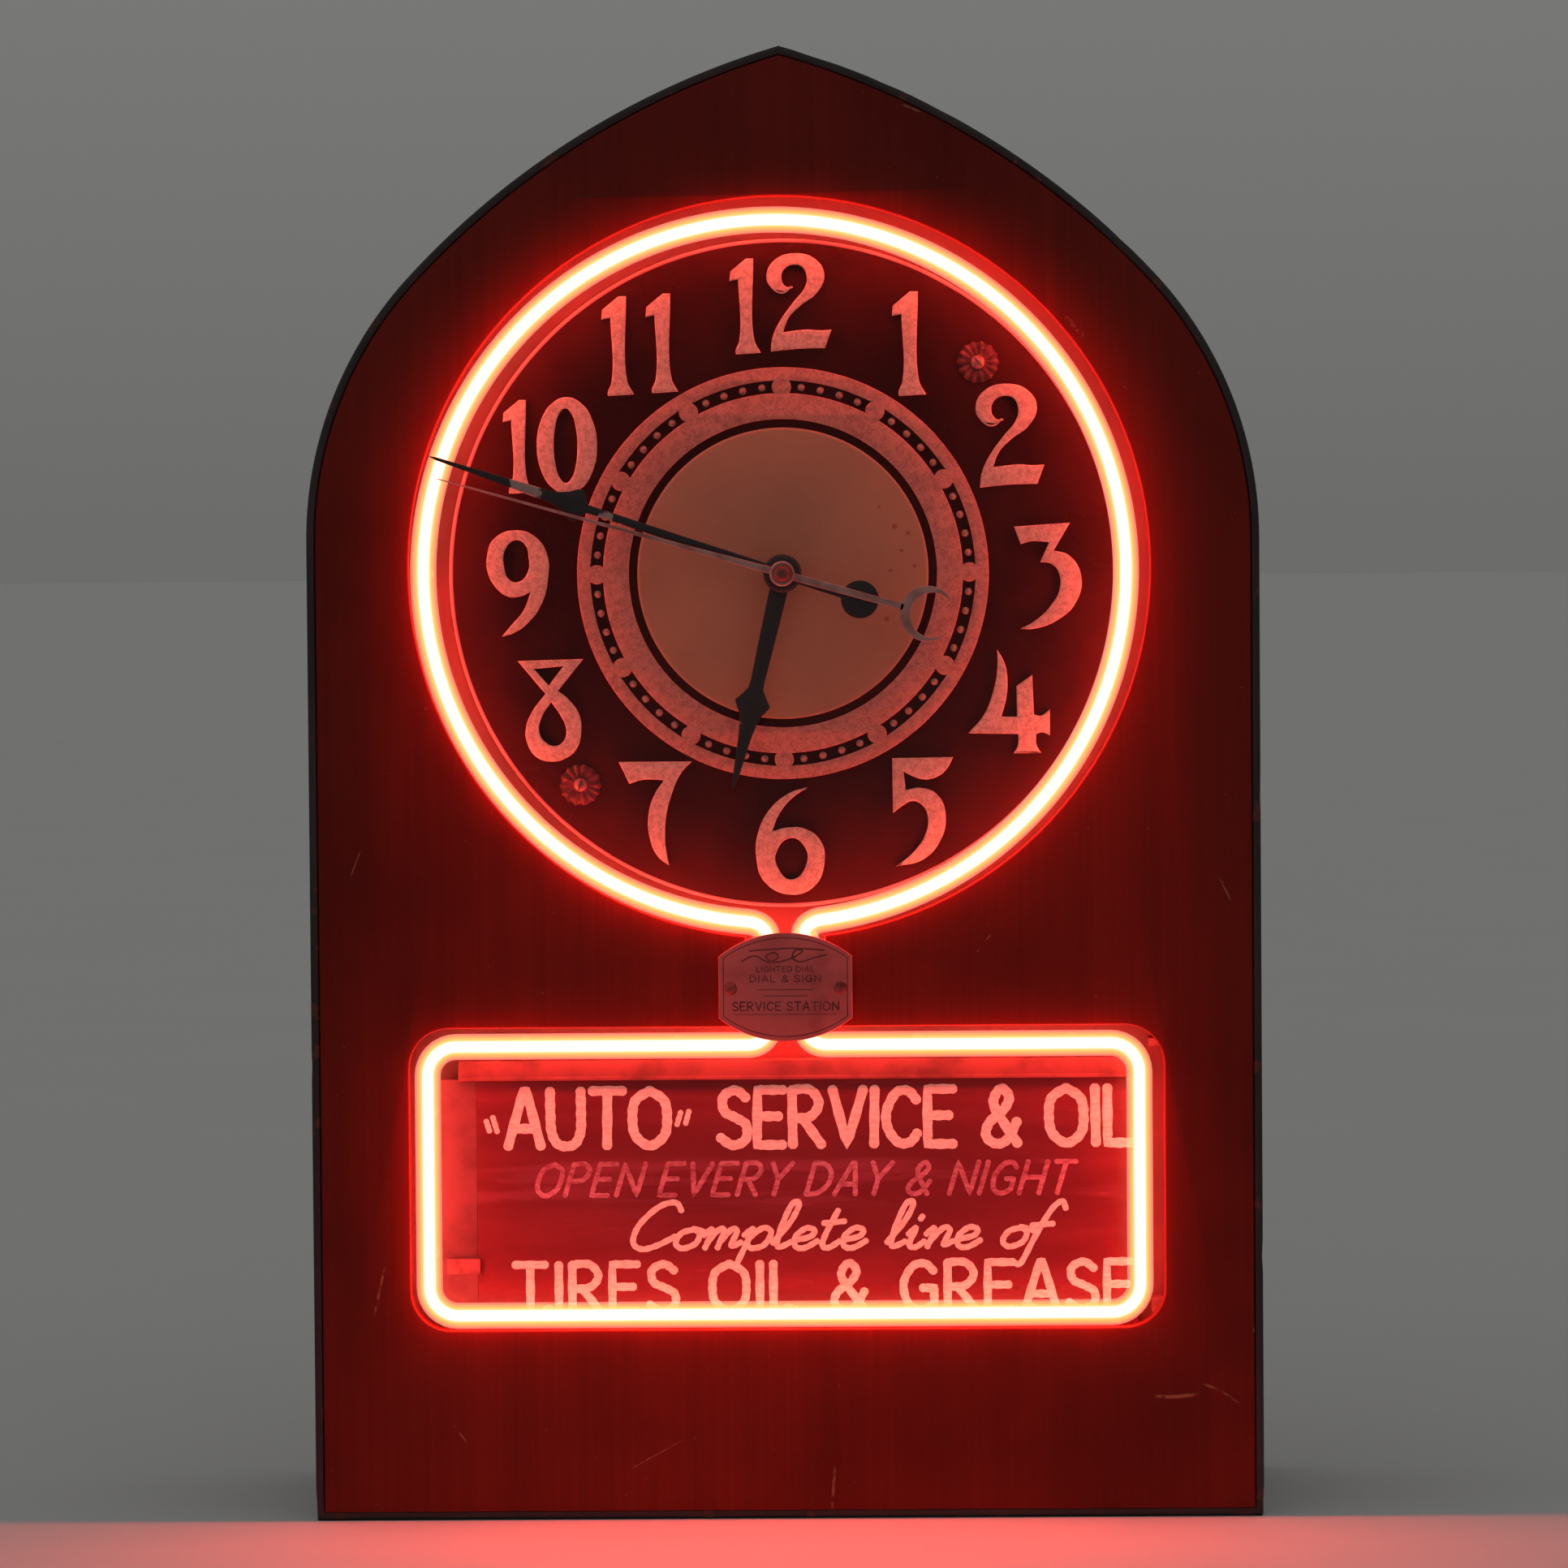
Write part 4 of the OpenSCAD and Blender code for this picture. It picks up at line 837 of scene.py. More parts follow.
# Letters drawn as single brush strokes, in a box one unit high. A stroke that starts with "c" is curved.
letters = {
    "A": (0.64, [("l", (0, 0), (0.3, 1), (0.36, 1), (0.64, 0)), ("l", (0.12, 0.32), (0.52, 0.32))]),
    "C": (0.62, [("c", (0.62, 0.8), (0.46, 0.97), (0.22, 0.93), (0.03, 0.6), (0.05, 0.28), (0.25, 0.03),
                  (0.48, 0.04), (0.62, 0.2))]),
    "D": (0.6, [("l", (0, 0), (0, 1)), ("c", (0, 1), (0.34, 0.95), (0.58, 0.68), (0.58, 0.32),
                                        (0.34, 0.05), (0, 0))]),
    "E": (0.5, [("l", (0.5, 1), (0, 1), (0, 0), (0.5, 0)), ("l", (0, 0.52), (0.42, 0.52))]),
    "G": (0.66, [("c", (0.62, 0.82), (0.45, 0.98), (0.2, 0.92), (0.02, 0.55), (0.12, 0.12), (0.4, 0),
                  (0.63, 0.14)),
                 ("l", (0.63, 0.14), (0.63, 0.46), (0.4, 0.46))]),
    "H": (0.6, [("l", (0, 1), (0, 0)), ("l", (0.6, 1), (0.6, 0)), ("l", (0, 0.5), (0.6, 0.5))]),
    "I": (0.06, [("l", (0.03, 1), (0.03, 0))]),
    "L": (0.46, [("l", (0, 1), (0, 0), (0.46, 0))]),
    "N": (0.62, [("l", (0, 0), (0, 1), (0.62, 0), (0.62, 1))]),
    "O": (0.68, [("c", (0.34, 1), (0.62, 0.82), (0.68, 0.5), (0.62, 0.18), (0.34, 0), (0.06, 0.18), (0, 0.5),
                  (0.06, 0.82), (0.34, 1))]),
    "P": (0.54, [("l", (0, 0), (0, 1)), ("c", (0, 1), (0.35, 1), (0.54, 0.76), (0.38, 0.5), (0, 0.46))]),
    "R": (0.56, [("l", (0, 0), (0, 1)), ("c", (0, 1), (0.35, 1), (0.52, 0.76), (0.36, 0.52), (0, 0.48)),
                 ("l", (0.2, 0.48), (0.56, 0))]),
    "S": (0.52, [("c", (0.5, 0.86), (0.3, 1), (0.06, 0.88), (0.08, 0.62), (0.3, 0.5), (0.51, 0.36),
                  (0.49, 0.1), (0.24, 0), (0, 0.14))]),
    "T": (0.6, [("l", (0, 1), (0.6, 1)), ("l", (0.3, 1), (0.3, 0))]),
    "U": (0.6, [("c", (0, 1), (0, 0.6), (0.02, 0.24), (0.16, 0.02), (0.44, 0.02), (0.58, 0.24),
                 (0.6, 0.6), (0.6, 1))]),
    "V": (0.6, [("l", (0, 1), (0.3, 0), (0.6, 1))]),
    "Y": (0.6, [("l", (0, 1), (0.3, 0.48), (0.6, 1)), ("l", (0.3, 0.48), (0.3, 0))]),
    "&": (0.64, [("c", (0.64, 0), (0.2, 0.62), (0.18, 0.86), (0.32, 1), (0.46, 0.84), (0.36, 0.62),
                  (0.08, 0.38), (0.02, 0.14), (0.2, 0), (0.42, 0.06), (0.62, 0.4))]),
    "(": (0.22, [("thin", (0, 0.46), (0.06, 0.28)), ("thin", (0.13, 0.53), (0.21, 0.27))]),
    ")": (0.22, [("thin", (0.08, 0.60), (0, 0.38)), ("thin", (0.24, 0.62), (0.17, 0.40))]),
    "c": (0.72, [("c", (0.74, 0.84), (0.6, 1.02), (0.34, 0.92), (0.1, 0.52), (0.08, 0.14), (0.26, -0.02),
                  (0.5, 0.06), (0.76, 0.26))]),
    "o": (0.42, [("c", (0.3, 0.42), (0.08, 0.34), (0.02, 0.12), (0.16, -0.01), (0.36, 0.1), (0.38, 0.32),
                  (0.26, 0.43), (0.5, 0.34))]),
    "m": (0.62, [("c", (-0.02, 0.28), (0.08, 0.42), (0.1, 0.3), (0.06, 0)),
                 ("c", (0.07, 0.12), (0.2, 0.4), (0.3, 0.38), (0.27, 0)),
                 ("c", (0.28, 0.12), (0.42, 0.41), (0.52, 0.36), (0.49, 0.05), (0.64, 0.12))]),
    "p": (0.44, [("c", (-0.02, 0.28), (0.1, 0.42), (0.06, 0.1), (-0.02, -0.45)),
                 ("c", (0.06, 0.2), (0.26, 0.44), (0.42, 0.34), (0.36, 0.06), (0.16, -0.01), (0.06, 0.1))]),
    "l": (0.26, [("c", (0, 0.1), (0.2, 0.6), (0.25, 0.98), (0.13, 0.96), (0.06, 0.4), (0.1, 0.02),
                  (0.3, 0.12))]),
    "e": (0.38, [("c", (0.02, 0.16), (0.28, 0.24), (0.32, 0.38), (0.17, 0.43), (0.03, 0.24), (0.08, 0.02),
                  (0.24, -0.01), (0.42, 0.14))]),
    "t": (0.32, [("c", (0.18, 0.82), (0.1, 0.4), (0.08, 0.06), (0.2, -0.01), (0.36, 0.14)),
                 ("l", (0, 0.54), (0.34, 0.58))]),
    "i": (0.26, [("c", (0, 0.28), (0.1, 0.42), (0.06, 0.06), (0.18, -0.01), (0.3, 0.12)),
                 ("l", (0.13, 0.62), (0.15, 0.68))]),
    "n": (0.44, [("c", (-0.02, 0.28), (0.08, 0.42), (0.1, 0.3), (0.06, 0)),
                 ("c", (0.08, 0.14), (0.24, 0.42), (0.36, 0.36), (0.32, 0.05), (0.46, 0.12))]),
    "f": (0.34, [("c", (0.44, 0.84), (0.34, 1.0), (0.2, 0.8), (0.06, 0.2), (-0.04, -0.36), (-0.14, -0.38)),
                 ("l", (-0.04, 0.46), (0.3, 0.5))]),
}


def stroke_points(stroke, grain=7):
    """A stroke's corners, or an even curve through them, as places along one brush mark."""
    corners = [Vector(p) for p in stroke[1:]]
    out = []
    for i in range(len(corners) - 1):
        a, b = corners[i], corners[i + 1]
        before = corners[i - 1] if i else a
        after = corners[i + 2] if i + 2 < len(corners) else b
        for k in range(grain):
            t = k / grain
            if stroke[0] == "c":
                out.append(0.5 * (2 * a + (b - before) * t + (2 * before - 5 * a + 4 * b - after) * t * t
                                  + (3 * a - before - 3 * b + after) * t ** 3))
            else:
                out.append(a.lerp(b, t))
    return out + [corners[-1]]


def lettering(name, words, x0, x1, z0, high, brush, deep, slant=0.0, gap=0.2, space=0.42, thick=0.25,
              wobble=0.0):
    """Words in brush strokes between two places across, standing on z0, each stroke with round ends."""
    advance = sum(space if c == " " else letters[c][0] + gap for c in words) - gap
    wide = (x1 - x0 - slant * high * 0.8) / advance
    pen, marks = 0.0, []
    for c in words:
        if c == " ":
            pen += space
            continue
        tilt, lift = random.uniform(-wobble, wobble), random.uniform(-wobble, wobble) * 0.4
        for stroke in letters[c][1]:
            places = [((pen + p.x) * wide + (p.y * high) * (slant + tilt) + x0,
                       z0 + (p.y + lift * 0.3) * high) for p in stroke_points(stroke)]
            marks.append((places, 0.55 if stroke[0] == "thin" else 1.0))
        pen += letters[c][0] + gap
    lines = []
    for places, weight in marks:
        first, last = Vector(places[0]), Vector(places[-1])
        d0 = (first - Vector(places[1])).normalized() * brush * weight / 2
        d1 = (last - Vector(places[-2])).normalized() * brush * weight / 2
        caps = (0.1, 0.55, 0.8, 0.95)
        start = [(tuple(first + d0 * (1 - s) * 0.9), (1 - (1 - s) ** 2) ** 0.5) for s in caps]
        end = [(tuple(last + d1 * (1 - s) * 0.9), (1 - (1 - s) ** 2) ** 0.5) for s in reversed(caps)]
        body = [(p, 1 + 0.07 * math.sin(i * 1.7 + len(places))) for i, p in enumerate(places)]
        lines.append([(px * MM, 0, pz * MM, r * weight) for (px, pz), r in start + body + end])
    piece = wire(name, lines, brush / 2 * MM, 3)
    piece.scale.y = thick / brush
    piece.location.y = front_y + deep * MM
    settle(piece)
    close_up(piece, 60)
    return piece


etch_depths = (badge_front - 0.04, badge_front + 0.1, 0.04, 1)
etched = [plate("border", [badge_outline(2.0), badge_outline(2.45)], *etch_depths)]
for rule_z, rule_w in ((badge_z - 1.2, 26), (badge_z - 4.0, 20), (badge_z - 12.4, 46)):
    etched.append(plate("rule", [rounded(0, rule_z, rule_w, 0.35, 0.17, 2)], *etch_depths))
badge_rows = [("LIGHTED DIAL", 13, 7.0, 2.4, 0.5, 0.3), ("DIAL & SIGN", 16, 2.4, 2.9, 0.6, 0.3),
              ("SERVICE STATION", 24, -10.6, 3.8, 0.7, 0.26)]
for words, half, up, high, brush, gap in badge_rows:
    etched.append(lettering("badge_words", words, -half, half, badge_z + up, high, brush, badge_front,
                            gap=gap, thick=0.1))
swash = [("c", (-0.1, 0.1), (0.5, 0.55), (1.1, 0.2), (1.5, 0.02), (1.9, 0.45), (1.6, 0.8), (1.2, 0.5),
          (1.7, 0.02), (2.6, 0.3), (3.2, 0.9), (2.8, 1.0), (2.7, 0.4), (3.2, 0.05), (4.0, 0.4), (4.6, 0.6)),
         ("c", (0.2, 0.95), (1.4, 1.08), (2.8, 1.14), (4.4, 0.98))]
letters["~"] = (4.6, swash)
etched.append(lettering("badge_words", "~", -19, 19, badge_z + 11.2, 5.6, 0.75, badge_front, slant=0.2,
                        thick=0.1))
dress(joined("badge_etching", etched), etch, "case", "badge_metal", "badge")
badge_screw_x = 25.0
badge_heads = [slotted("badge_screw", side * badge_screw_x, badge_z - 0.6, 3.0, badge_front, 1.0, 0.6 + side)
               for side in (-1, 1)]
finish_node("badge_spacers", turned_brass)
badge_steel = metal("badge_screw_metal", (0.42, 0.075, 0.065), (0.20, 0.035, 0.030), 0.35, 200, 0.7)
dress(joined("badge_screw_heads", badge_heads), badge_steel, "case", "steel", "badge_screws")


# ---- Sign ----
# A sheet of glass backed with oxblood paint slides in two folded tin rails behind the lower window. The
# words are lettered on it by brush in cream. The second row has been half wiped away and smeared.

sign_front = 16.5
panel_x = (-142.0, 160.0)
panel_z = (70.0, 200.7)
sign_glass = Finish("painted_sign_glass", roughness=0.2, specular_ior_level=0.2)
wash = sign_glass.noise(1.0, 4.0, (10, 10, 60))
wiped = sign_glass.noise(1.0, 4.0, (9, 9, 90), (2, 0, 4)).ramp(0.52, 0.72)
band = abs(sign_glass.axis("Z") * 1000 - 152).ramp(6, 15, 1, 0)
smear = wiped * (band * 0.75 + 0.12)
paint = sign_glass.mix((0.130, 0.0155, 0.0200), (0.175, 0.0225, 0.0285), wash.ramp(0.3, 0.7))
sign_glass.set("Base Color", sign_glass.mix(paint, (0.26, 0.060, 0.085), smear * 0.6))
sign_glass.set("Roughness", wash.ramp(0.3, 0.7, 0.16, 0.28) + smear * 0.25)
sign_glass.bump(wash, 0.05, 0.3)
sheet = plate("sign_sheet", [rounded((panel_x[0] + panel_x[1]) / 2, (panel_z[0] + panel_z[1]) / 2,
                                     panel_x[1] - panel_x[0], panel_z[1] - panel_z[0], 1.5, 3)],
              sign_front, sign_front + 2, 0.3, 2)
dress(sheet, sign_glass, "case", "sign_paint", "sign_panel")


def brush_paint(name, thick, thin, missing=0.0):
    coat = Finish(name, roughness=0.5)
    drag = coat.noise(1.0, 4.0, (260, 260, 700))
    coat.set("Base Color", coat.mix(thin, thick, drag.ramp(0.34, 0.6)))
    coat.set("Roughness", drag.ramp(0.3, 0.7, 0.45, 0.6))
    if missing:
        gone = coat.noise(1.0, 4.0, (16, 16, 110), (4, 0, 1)).ramp(0.40, 0.62)
        coat.set("Alpha", 1.0 - gone * missing)
    coat.bump(drag, 0.08, 0.5)
    return coat


random.seed(21)
words_deep = sign_front - 0.05
cream_letters = brush_paint("cream_lettering", (0.92, 0.80, 0.70), (0.80, 0.62, 0.52))
faded_letters = brush_paint("faded_lettering", (0.52, 0.22, 0.28), (0.34, 0.100, 0.135), 0.42)
sign_rows = [
    ("sign_row_1", "(AUTO) SERVICE & OIL", -137.5, 157.0, 169.4, 25.2, 4.7, cream_letters, {"wobble": 0.02}),
    ("sign_row_2", "OPEN EVERY DAY & NIGHT", -116, 131, 146.6, 14.4, 2.4, faded_letters,
     {"slant": 0.3, "gap": 0.26}),
    ("sign_row_3", "complete line of", -74, 124, 122.3, 20.5, 2.8, cream_letters,
     {"slant": 0.3, "gap": 0.06, "space": 0.34}),
    ("sign_row_4", "TIRES OIL & GREASE", -125, 157, 93.5, 21.5, 3.9, cream_letters,
     {"gap": 0.24, "space": 0.5}),
]
for name, words, x0, x1, z0, high, brush, finish, extra in sign_rows:
    row = lettering(name, words, x0, x1, z0, high, brush, words_deep, **extra)
    dress(row, finish, "case", "sign_paint", "sign_panel")


def block(x0, x1, z0, z1):
    """The outline of a rectangle, across and up."""
    return [(x0, z0), (x1, z0), (x1, z1), (x0, z1)]


tin = metal("painted_tin_rail", (0.30, 0.060, 0.055), (0.16, 0.030, 0.028), 0.42, 40, 0.25)
rail_x = (-150.0, 164.0)
lip_half = 0.9
rails = []
for low, high, edge_z in ((61.7, 70.0, 70.0), (200.7, 209.0, 200.7)):
    rails.append(plate("rail", [block(*rail_x, low, high)], 12, 24.6, 0.8, 3))
    lip = block(*rail_x, edge_z - lip_half, edge_z + lip_half)
    rails.append(plate("rail_lip", [lip], 11.6, 13.4, 0.5, 2))
dress(joined("sign_channels", rails), tin, "case", "sign_paint", "sign_rails")
enamelled_strip = metal("red_strip_paint", (0.22, 0.050, 0.054), (0.13, 0.024, 0.027), 0.5, 40, 0.05)
strip = plate("sign_side_cover", [block(-158.5, -142, 70.5, 200.2)], 16.5, 18.4, 0.4, 2)
dress(strip, enamelled_strip, "case", "sign_paint", "sign_side_strip")
clip_metal = metal("bright_clip", (0.34, 0.085, 0.085), (0.22, 0.050, 0.050), 0.5, 150, 0.3)
finish_node("sign_clips", clip_metal)


# ---- Transformer and wiring ----
# A pitch filled steel can that feeds the tube at high voltage through two porcelain bushings. Its red
# rubber leads rise to the electrodes, and cotton covered leads run from a phenolic terminal block.


def enamelled(name, base, worn, rough=0.4, scale=50.0):
    coat = Finish(name, roughness=rough)
    wear = coat.noise(scale, 4.0).ramp(0.56, 0.68)
    orange_peel = coat.noise(scale * 9, 2.0)
    coat.set("Base Color", coat.mix(base, worn, wear * 0.8))
    coat.set("Roughness", rough + wear * 0.25 + orange_peel * 0.06)
    coat.bump(orange_peel - wear * 0.5, 0.05, 0.5)
    return coat


can_enamel = enamelled("black_can_enamel", (0.018, 0.018, 0.019), (0.09, 0.055, 0.04))
finish_node("transformer_can", can_enamel)
finish_node("transformer_bushings", glazed)
finish_node("transformer_screws", plated_steel)
red_rubber = enamelled("red_rubber", (0.32, 0.035, 0.022), (0.20, 0.05, 0.035), 0.55, 120)
finish_node("high_voltage_leads", red_rubber)
phenolic = enamelled("brown_phenolic", (0.055, 0.022, 0.014), (0.10, 0.05, 0.03), 0.35, 70)
finish_node("terminal_block", phenolic)
cotton = Finish("cotton_braid", roughness=0.85)
weave = cotton.cells(1400.0, (1, 1, 0.5))
cotton.set("Base Color", cotton.mix((0.035, 0.028, 0.020), (0.16, 0.12, 0.07), weave.ramp(0.1, 0.5)))
cotton.set("Roughness", weave.ramp(0.1, 0.5, 0.75, 0.92))
cotton.bump(weave, 0.2, 0.7)
for name in ("primary_leads", "motor_leads"):
    finish_node(name, cotton)
finish_node("inlet_grommet", enamelled("black_rubber", (0.016, 0.015, 0.015), (0.045, 0.042, 0.04), 0.7, 90))


# ---- Movement ----
# A synchronous electric movement between two brass plates: laminated core and coil, a sealed rotor
# can, and steel wheels that turn the seconds, minute and hour arbors.

lamination = Finish("laminated_iron", roughness=0.45, metallic=0.8)
sheets = lamination.node("Math", {"operation": "SINE"}, {0: lamination.axis("Y") * 9000})
lamination.set("Base Color", lamination.mix((0.12, 0.11, 0.10), (0.30, 0.28, 0.26), sheets.ramp(-0.6, 0.4)))
lamination.bump(sheets, 0.1, 0.6)
coil_wrap = Finish("varnished_coil", roughness=0.38)
turns = coil_wrap.node("Math", {"operation": "SINE"}, {0: coil_wrap.axis("X") * 12000})
coil_wrap.set("Base Color", coil_wrap.mix((0.20, 0.055, 0.02), (0.38, 0.14, 0.05), turns.ramp(-0.7, 0.7)))
coil_wrap.bump(turns, 0.15, 0.6)
copper_can = metal("copper_can", (0.75, 0.36, 0.22), (0.40, 0.18, 0.11), 0.28, 90)
wheel_brass = metal("wheel_brass", (0.66, 0.47, 0.20), (0.45, 0.30, 0.12), 0.24, 120)
for name in ("movement_front_plate", "movement_back_plate", "movement_pillars"):
    finish_node(name, turned_brass)
for name in ("hour_wheel", "centre_wheel", "seconds_wheel", "intermediate_wheel", "motion_wheel"):
    finish_node(name, wheel_brass)
for name in ("motion_stud", "minute_arbor", "seconds_arbor", "rotor_pinion", "set_shaft"):
    finish_node(name, plated_steel)
finish_node("motor_core", lamination)
finish_node("motor_coil", coil_wrap)
finish_node("rotor_can", copper_can)


# ---- Setting knob ----
# A moulded black knob with a milled rim, pressed on the setting shaft where it comes out of the cover.

knob_r = 10.0
knob_deep = (151.0, 164.0)
knob_flutes = 40
knob_low, knob_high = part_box("set_knob")
knob_at = ((knob_low[0] + knob_high[0]) / 2 / MM, (knob_low[2] + knob_high[2]) / 2 / MM)
rim = []
for i in range(knob_flutes * 4):
    a = 2 * math.pi * i / (knob_flutes * 4)
    r = knob_r - 0.35 + 0.3 * math.cos(a * knob_flutes)
    rim.append((knob_at[0] + r * math.cos(a), knob_at[1] + r * math.sin(a)))
cap_profile = [(0, 1.3), (8.6, 1.3), (8.4, 0.7), (7.2, 0.2), (6.4, 0.2), (5.8, 0.7), (0, 0.7)]
knob_parts = [plate("knob", [rim], knob_deep[0], knob_deep[1] - 1.2, 0.5, 2),
              turned("knob_cap", [(r, knob_deep[1] - up) for r, up in cap_profile], *knob_at, 48)]
knob_phenolic = enamelled("knob_phenolic", (0.020, 0.017, 0.016), (0.06, 0.05, 0.045), 0.3, 200)
dress(joined("milled_knob", knob_parts), knob_phenolic, "set_body", "phenolic", "set_knob")


# ---- Hands ----
# Pressed steel hands, blacked and long since rubbed: a spade hour hand, a longer spade minute hand with
# a round counterweight and bare patches, and a plain steel seconds hand with a crescent tail.

hand_deep = {"hour": (1.0, 2.2), "minute": (-6.4, -5.2), "second": (-9.2, -8.4)}
hour_turn, minute_turn, second_turn = 193.4, 288.8, 285.8


def along_hand(outline, turn):
    """Half an outline (distance from the hub, half width) mirrored about the hand's line and turned."""
    a = math.radians(turn)
    whole = outline + [(s, -w) for s, w in reversed(outline) if abs(w) > 1e-6]
    return [(hub[0] + s * math.sin(a) + w * math.cos(a),
             hub[1] + s * math.cos(a) - w * math.sin(a)) for s, w in whole]


def hand_paint(name, base, bare, turn, patches):
    coat = Finish(name, roughness=0.4)
    a = math.radians(turn)
    dx, dz = coat.axis("X") * 1000 - hub[0], coat.axis("Z") * 1000 - hub[1]
    s = dx * math.sin(a) + dz * math.cos(a)
    rub = coat.noise(130.0, 4.0)
    worn = rub.ramp(0.69, 0.73)
    for low, high in patches:
        inside = abs(s - (low + high) / 2).ramp((high - low) * 0.32, (high - low) * 0.58, 1, 0)
        worn = worn.most((rub + inside * 0.42).ramp(0.80, 0.86))
    steel = coat.mix(bare, tuple(c * 0.6 for c in bare), coat.noise(300.0, 2.0))
    coat.set("Base Color", coat.mix(base, steel, worn))
    coat.set("Roughness", 0.42 + worn * 0.05)
    coat.set("Metallic", worn * 0.6)
    coat.bump(rub - worn, 0.05, 0.5)
    return coat


black_hour = hand_paint("blacked_hour_hand", (0.013, 0.0075, 0.0070), (0.30, 0.16, 0.13), hour_turn, [])
black_minute = hand_paint("blacked_minute_hand", (0.012, 0.0065, 0.0060), (0.50, 0.34, 0.30), minute_turn,
                          [(80, 88), (112, 130)])
bare_steel = metal("rubbed_seconds_steel", (0.46, 0.25, 0.22), (0.32, 0.15, 0.13), 0.36, 90, 0.55)

hour_shape = [(6, 4.2), (30, 3.75), (50, 3.2), (53.5, 3.4), (57, 5.6), (60.4, 8.2), (62, 7.4), (66, 5.0),
              (70, 3.9), (75, 3.1), (84, 2.3), (92, 1.6), (99, 0.7), (101, 0)]
hour_parts = [plate("hand", [along_hand([(0, 4.2)] + hour_shape, hour_turn)], *hand_deep["hour"], 0.3, 2),
              turned("boss", [(3.7, 2.6), (8.7, 2.6), (8.7, 0.9), (8.0, 0.4), (3.7, 0.4), (3.7, 2.6)],
                     *hub, 64)]
dress(joined("spade_hour_hand", hour_parts), black_hour, "hour_body", "hand_black", "hour_hand")

minute_shape = [(-30, 2.0), (0, 2.3), (40, 2.0), (88, 1.8), (93, 1.9), (94.5, 4.0), (97, 7.4),
                (99.5, 7.2), (103, 4.9), (107, 3.4), (112, 2.5), (118, 2.4), (130, 1.9), (150, 1.2),
                (165, 0.7), (169, 0)]
weight = arc(*on_dial(-37, minute_turn), 8.6, 0, 2 * math.pi, 48)[:-1]
minute_parts = [plate("hand", [along_hand(minute_shape, minute_turn)], *hand_deep["minute"], 0.3, 2),
                plate("weight", [weight], -6.5, -5.1, 0.4, 3),
                turned("boss", [(2.3, -5.0), (8.5, -5.0), (8.5, -6.2), (7.9, -6.8), (6.9, -7.1), (2.3, -7.1),
                                (2.3, -5.0)], *hub, 64)]
dress(joined("spade_minute_hand", minute_parts), black_minute, "minute_body", "hand_black", "minute_hand")

crescent_r, crescent_at, bite_r, bite_shift = 12.6, -68.0, 10.2, 2.7
mid = on_dial(crescent_at, second_turn)
bite = on_dial(crescent_at - bite_shift, second_turn)
horn = math.acos((crescent_r ** 2 + bite_shift ** 2 - bite_r ** 2) / (2 * crescent_r * bite_shift))
open_way = math.atan2(bite[1] - mid[1], bite[0] - mid[0])
outer = arc(*mid, crescent_r, open_way + horn, open_way + 2 * math.pi - horn, 44)
bite_horn = math.asin(crescent_r * math.sin(horn) / bite_r)
bite_horn = math.pi - bite_horn if crescent_r * math.cos(horn) < bite_shift else bite_horn
inner = arc(*bite, bite_r, open_way + 2 * math.pi - bite_horn, open_way + bite_horn, 40)[1:-1]
second_shape = [(-57, 1.5), (-20, 1.7), (0, 1.8), (40, 1.1), (90, 0.75), (140, 0.5), (161, 0.25), (162, 0)]
second_parts = [plate("hand", [along_hand(second_shape, second_turn)], *hand_deep["second"], 0.2, 2),
                plate("crescent", [outer + inner], hand_deep["second"][0], hand_deep["second"][1], 0.2, 2),
                turned("collar", [(1.0, -8.0), (5.6, -8.0), (5.7, -9.6), (5.2, -10.1), (4.5, -10.1),
                                  (4.3, -9.6), (1.0, -9.6), (1.0, -8.0)], *hub, 64)]
dress(joined("crescent_seconds_hand", second_parts), bare_steel, "second_body", "hand_silver", "second_hand")
cap = turned("hub_nut", [(0, -12.4), (1.6, -12.4), (2.6, -12.1), (3.3, -11.4), (3.8, -10.2), (3.9, -9.4),
                         (0, -9.4)],
             *hub, 40)
cap_brass = metal("dark_brass_nut", (0.17, 0.050, 0.040), (0.09, 0.026, 0.022), 0.45, 240, 0.4)
dress(cap, cap_brass, "second_body", "brass", "hub_cap")


# ---- Studio ----
# The clock stands on a pale floor in even grey light, so that its own tube does most of the lighting.

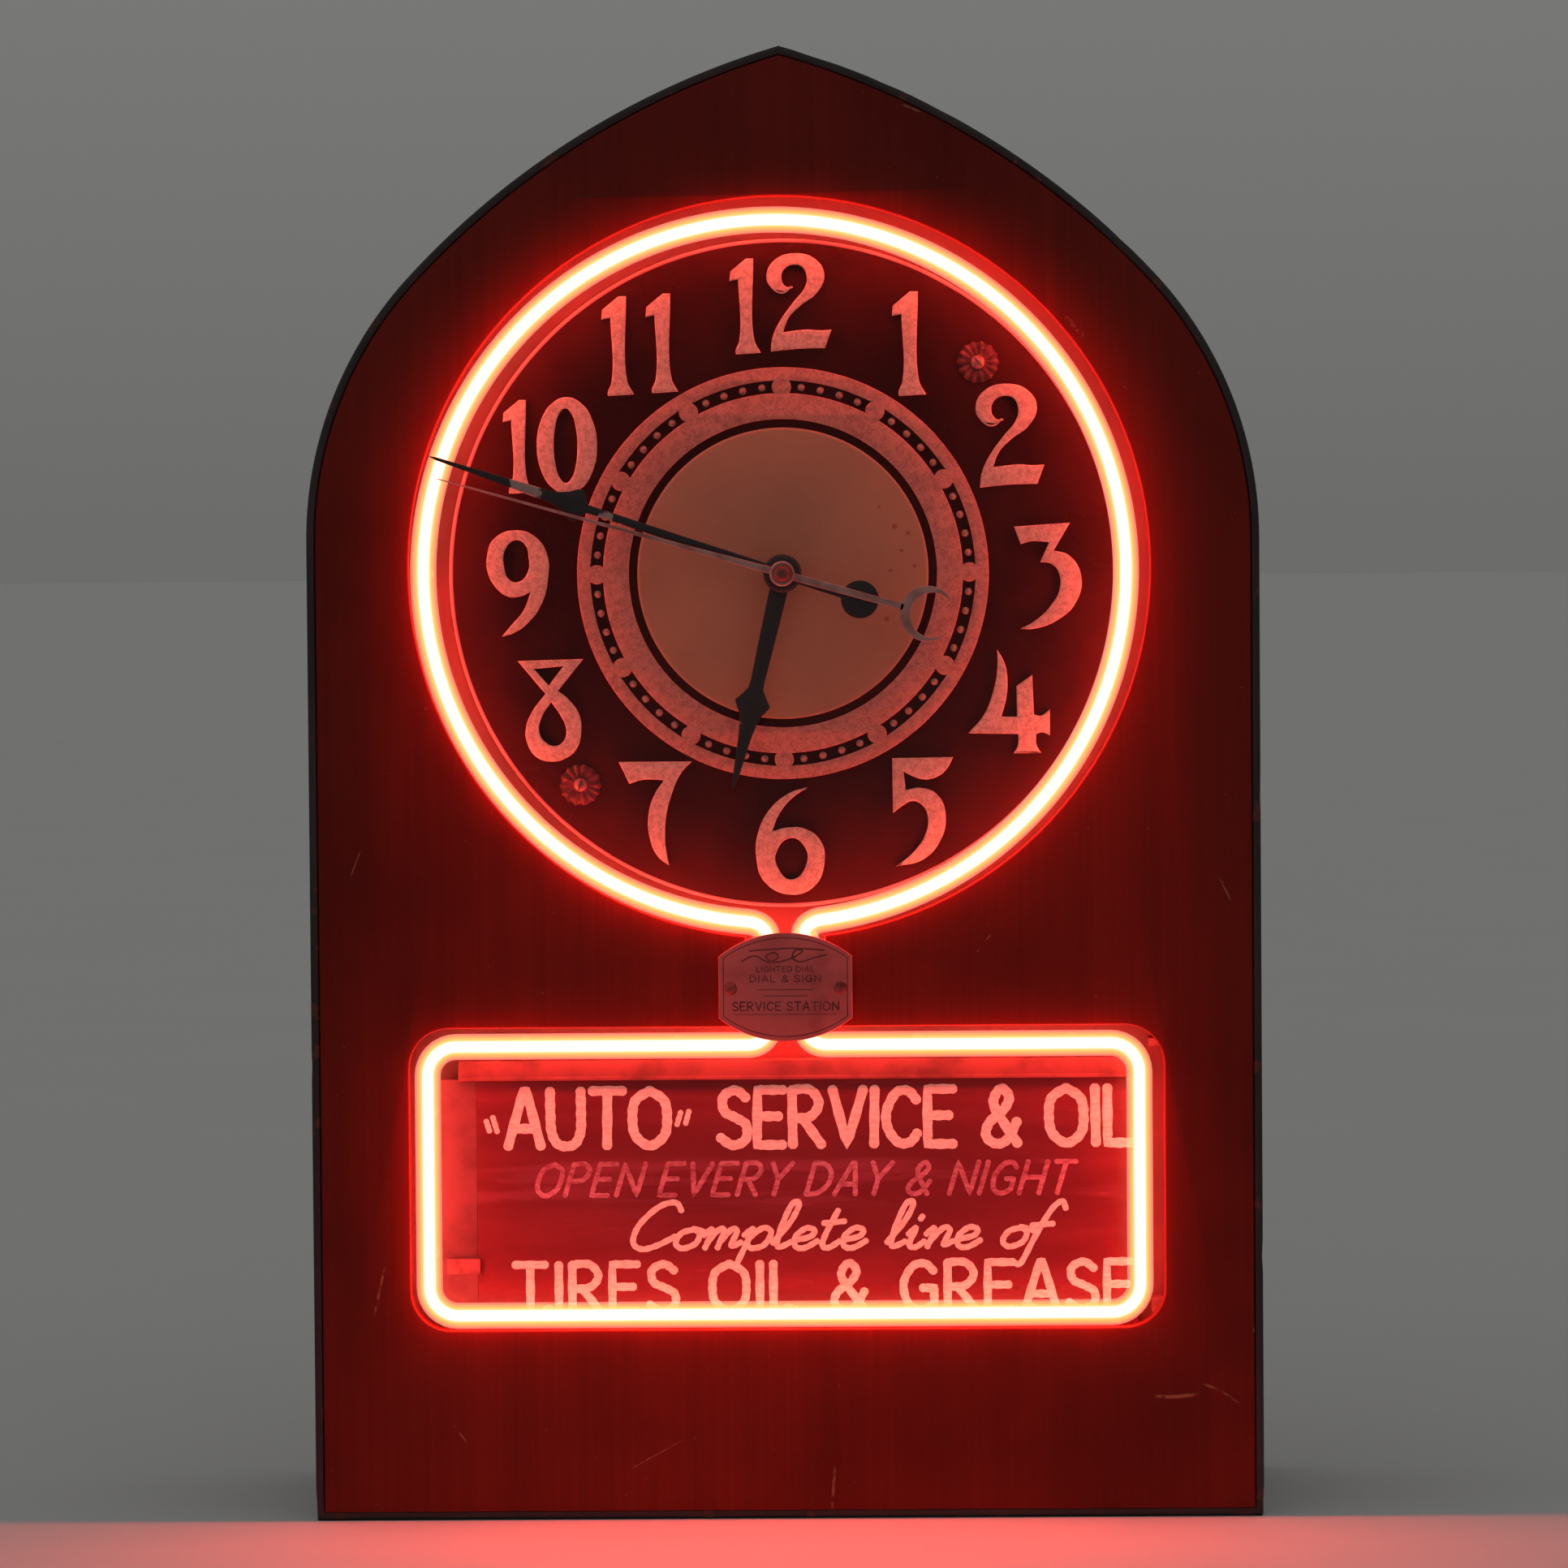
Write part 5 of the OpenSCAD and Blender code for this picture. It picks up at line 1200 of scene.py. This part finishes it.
floor_half = 60000
floor = plate("floor", [block(-floor_half, floor_half, -floor_half, floor_half)], 0, 10)
floor.matrix_world = Matrix.Rotation(math.pi / 2, 4, "X") @ floor.matrix_world
settle(floor)
floor.location.z = -max(v.co.z for v in floor.data.vertices)
settle(floor)
pale = Finish("pale_floor", roughness=0.7, specular_ior_level=0.15)
pale.set("Base Color", pale.mix((0.66, 0.655, 0.645), (0.69, 0.685, 0.675), pale.noise(3.0, 2.0)))
floor.data.materials.append(pale.material)

world = bpy.data.worlds.new("studio_air")
bpy.context.scene.world = world
world.use_nodes = True
air = world.node_tree
way = air.nodes.new("ShaderNodeTexCoord")
split = air.nodes.new("ShaderNodeSeparateXYZ")
rise = air.nodes.new("ShaderNodeMapRange")
rise.inputs["From Max"].default_value = 0.12
shade = air.nodes.new("ShaderNodeMix")
shade.data_type = "RGBA"
shade.inputs[6].default_value = (0.150, 0.150, 0.146, 1)
shade.inputs[7].default_value = (0.205, 0.206, 0.200, 1)
air.links.new(way.outputs["Generated"], split.inputs[0])
air.links.new(split.outputs["Z"], rise.inputs["Value"])
air.links.new(rise.outputs[0], shade.inputs[0])
air.links.new(shade.outputs[2], air.nodes["Background"].inputs["Color"])

soft = bpy.data.lights.new("soft_daylight", "SUN")
soft.energy = 0.12
soft.angle = math.radians(100)
soft_lamp = bpy.data.objects.new("soft_daylight", soft)
soft_lamp.rotation_euler = (math.radians(38), 0, math.radians(-24))
bpy.context.collection.objects.link(soft_lamp)

aim = Vector((0.0, front_y, 0.335))
stand = Vector((0.05, front_y - 3.0, 0.45))
lens = bpy.data.cameras.new("camera")
lens.lens = 152
lens.sensor_width = 36
camera = bpy.data.objects.new("camera", lens)
camera.location = stand
camera.rotation_euler = ((aim - stand).to_track_quat("-Z", "Y").to_matrix().to_4x4()
                         @ Matrix.Rotation(math.radians(-0.45), 4, "Z")).to_euler()
bpy.context.collection.objects.link(camera)
bpy.context.scene.camera = camera
bpy.context.scene.view_settings.view_transform = "Standard"
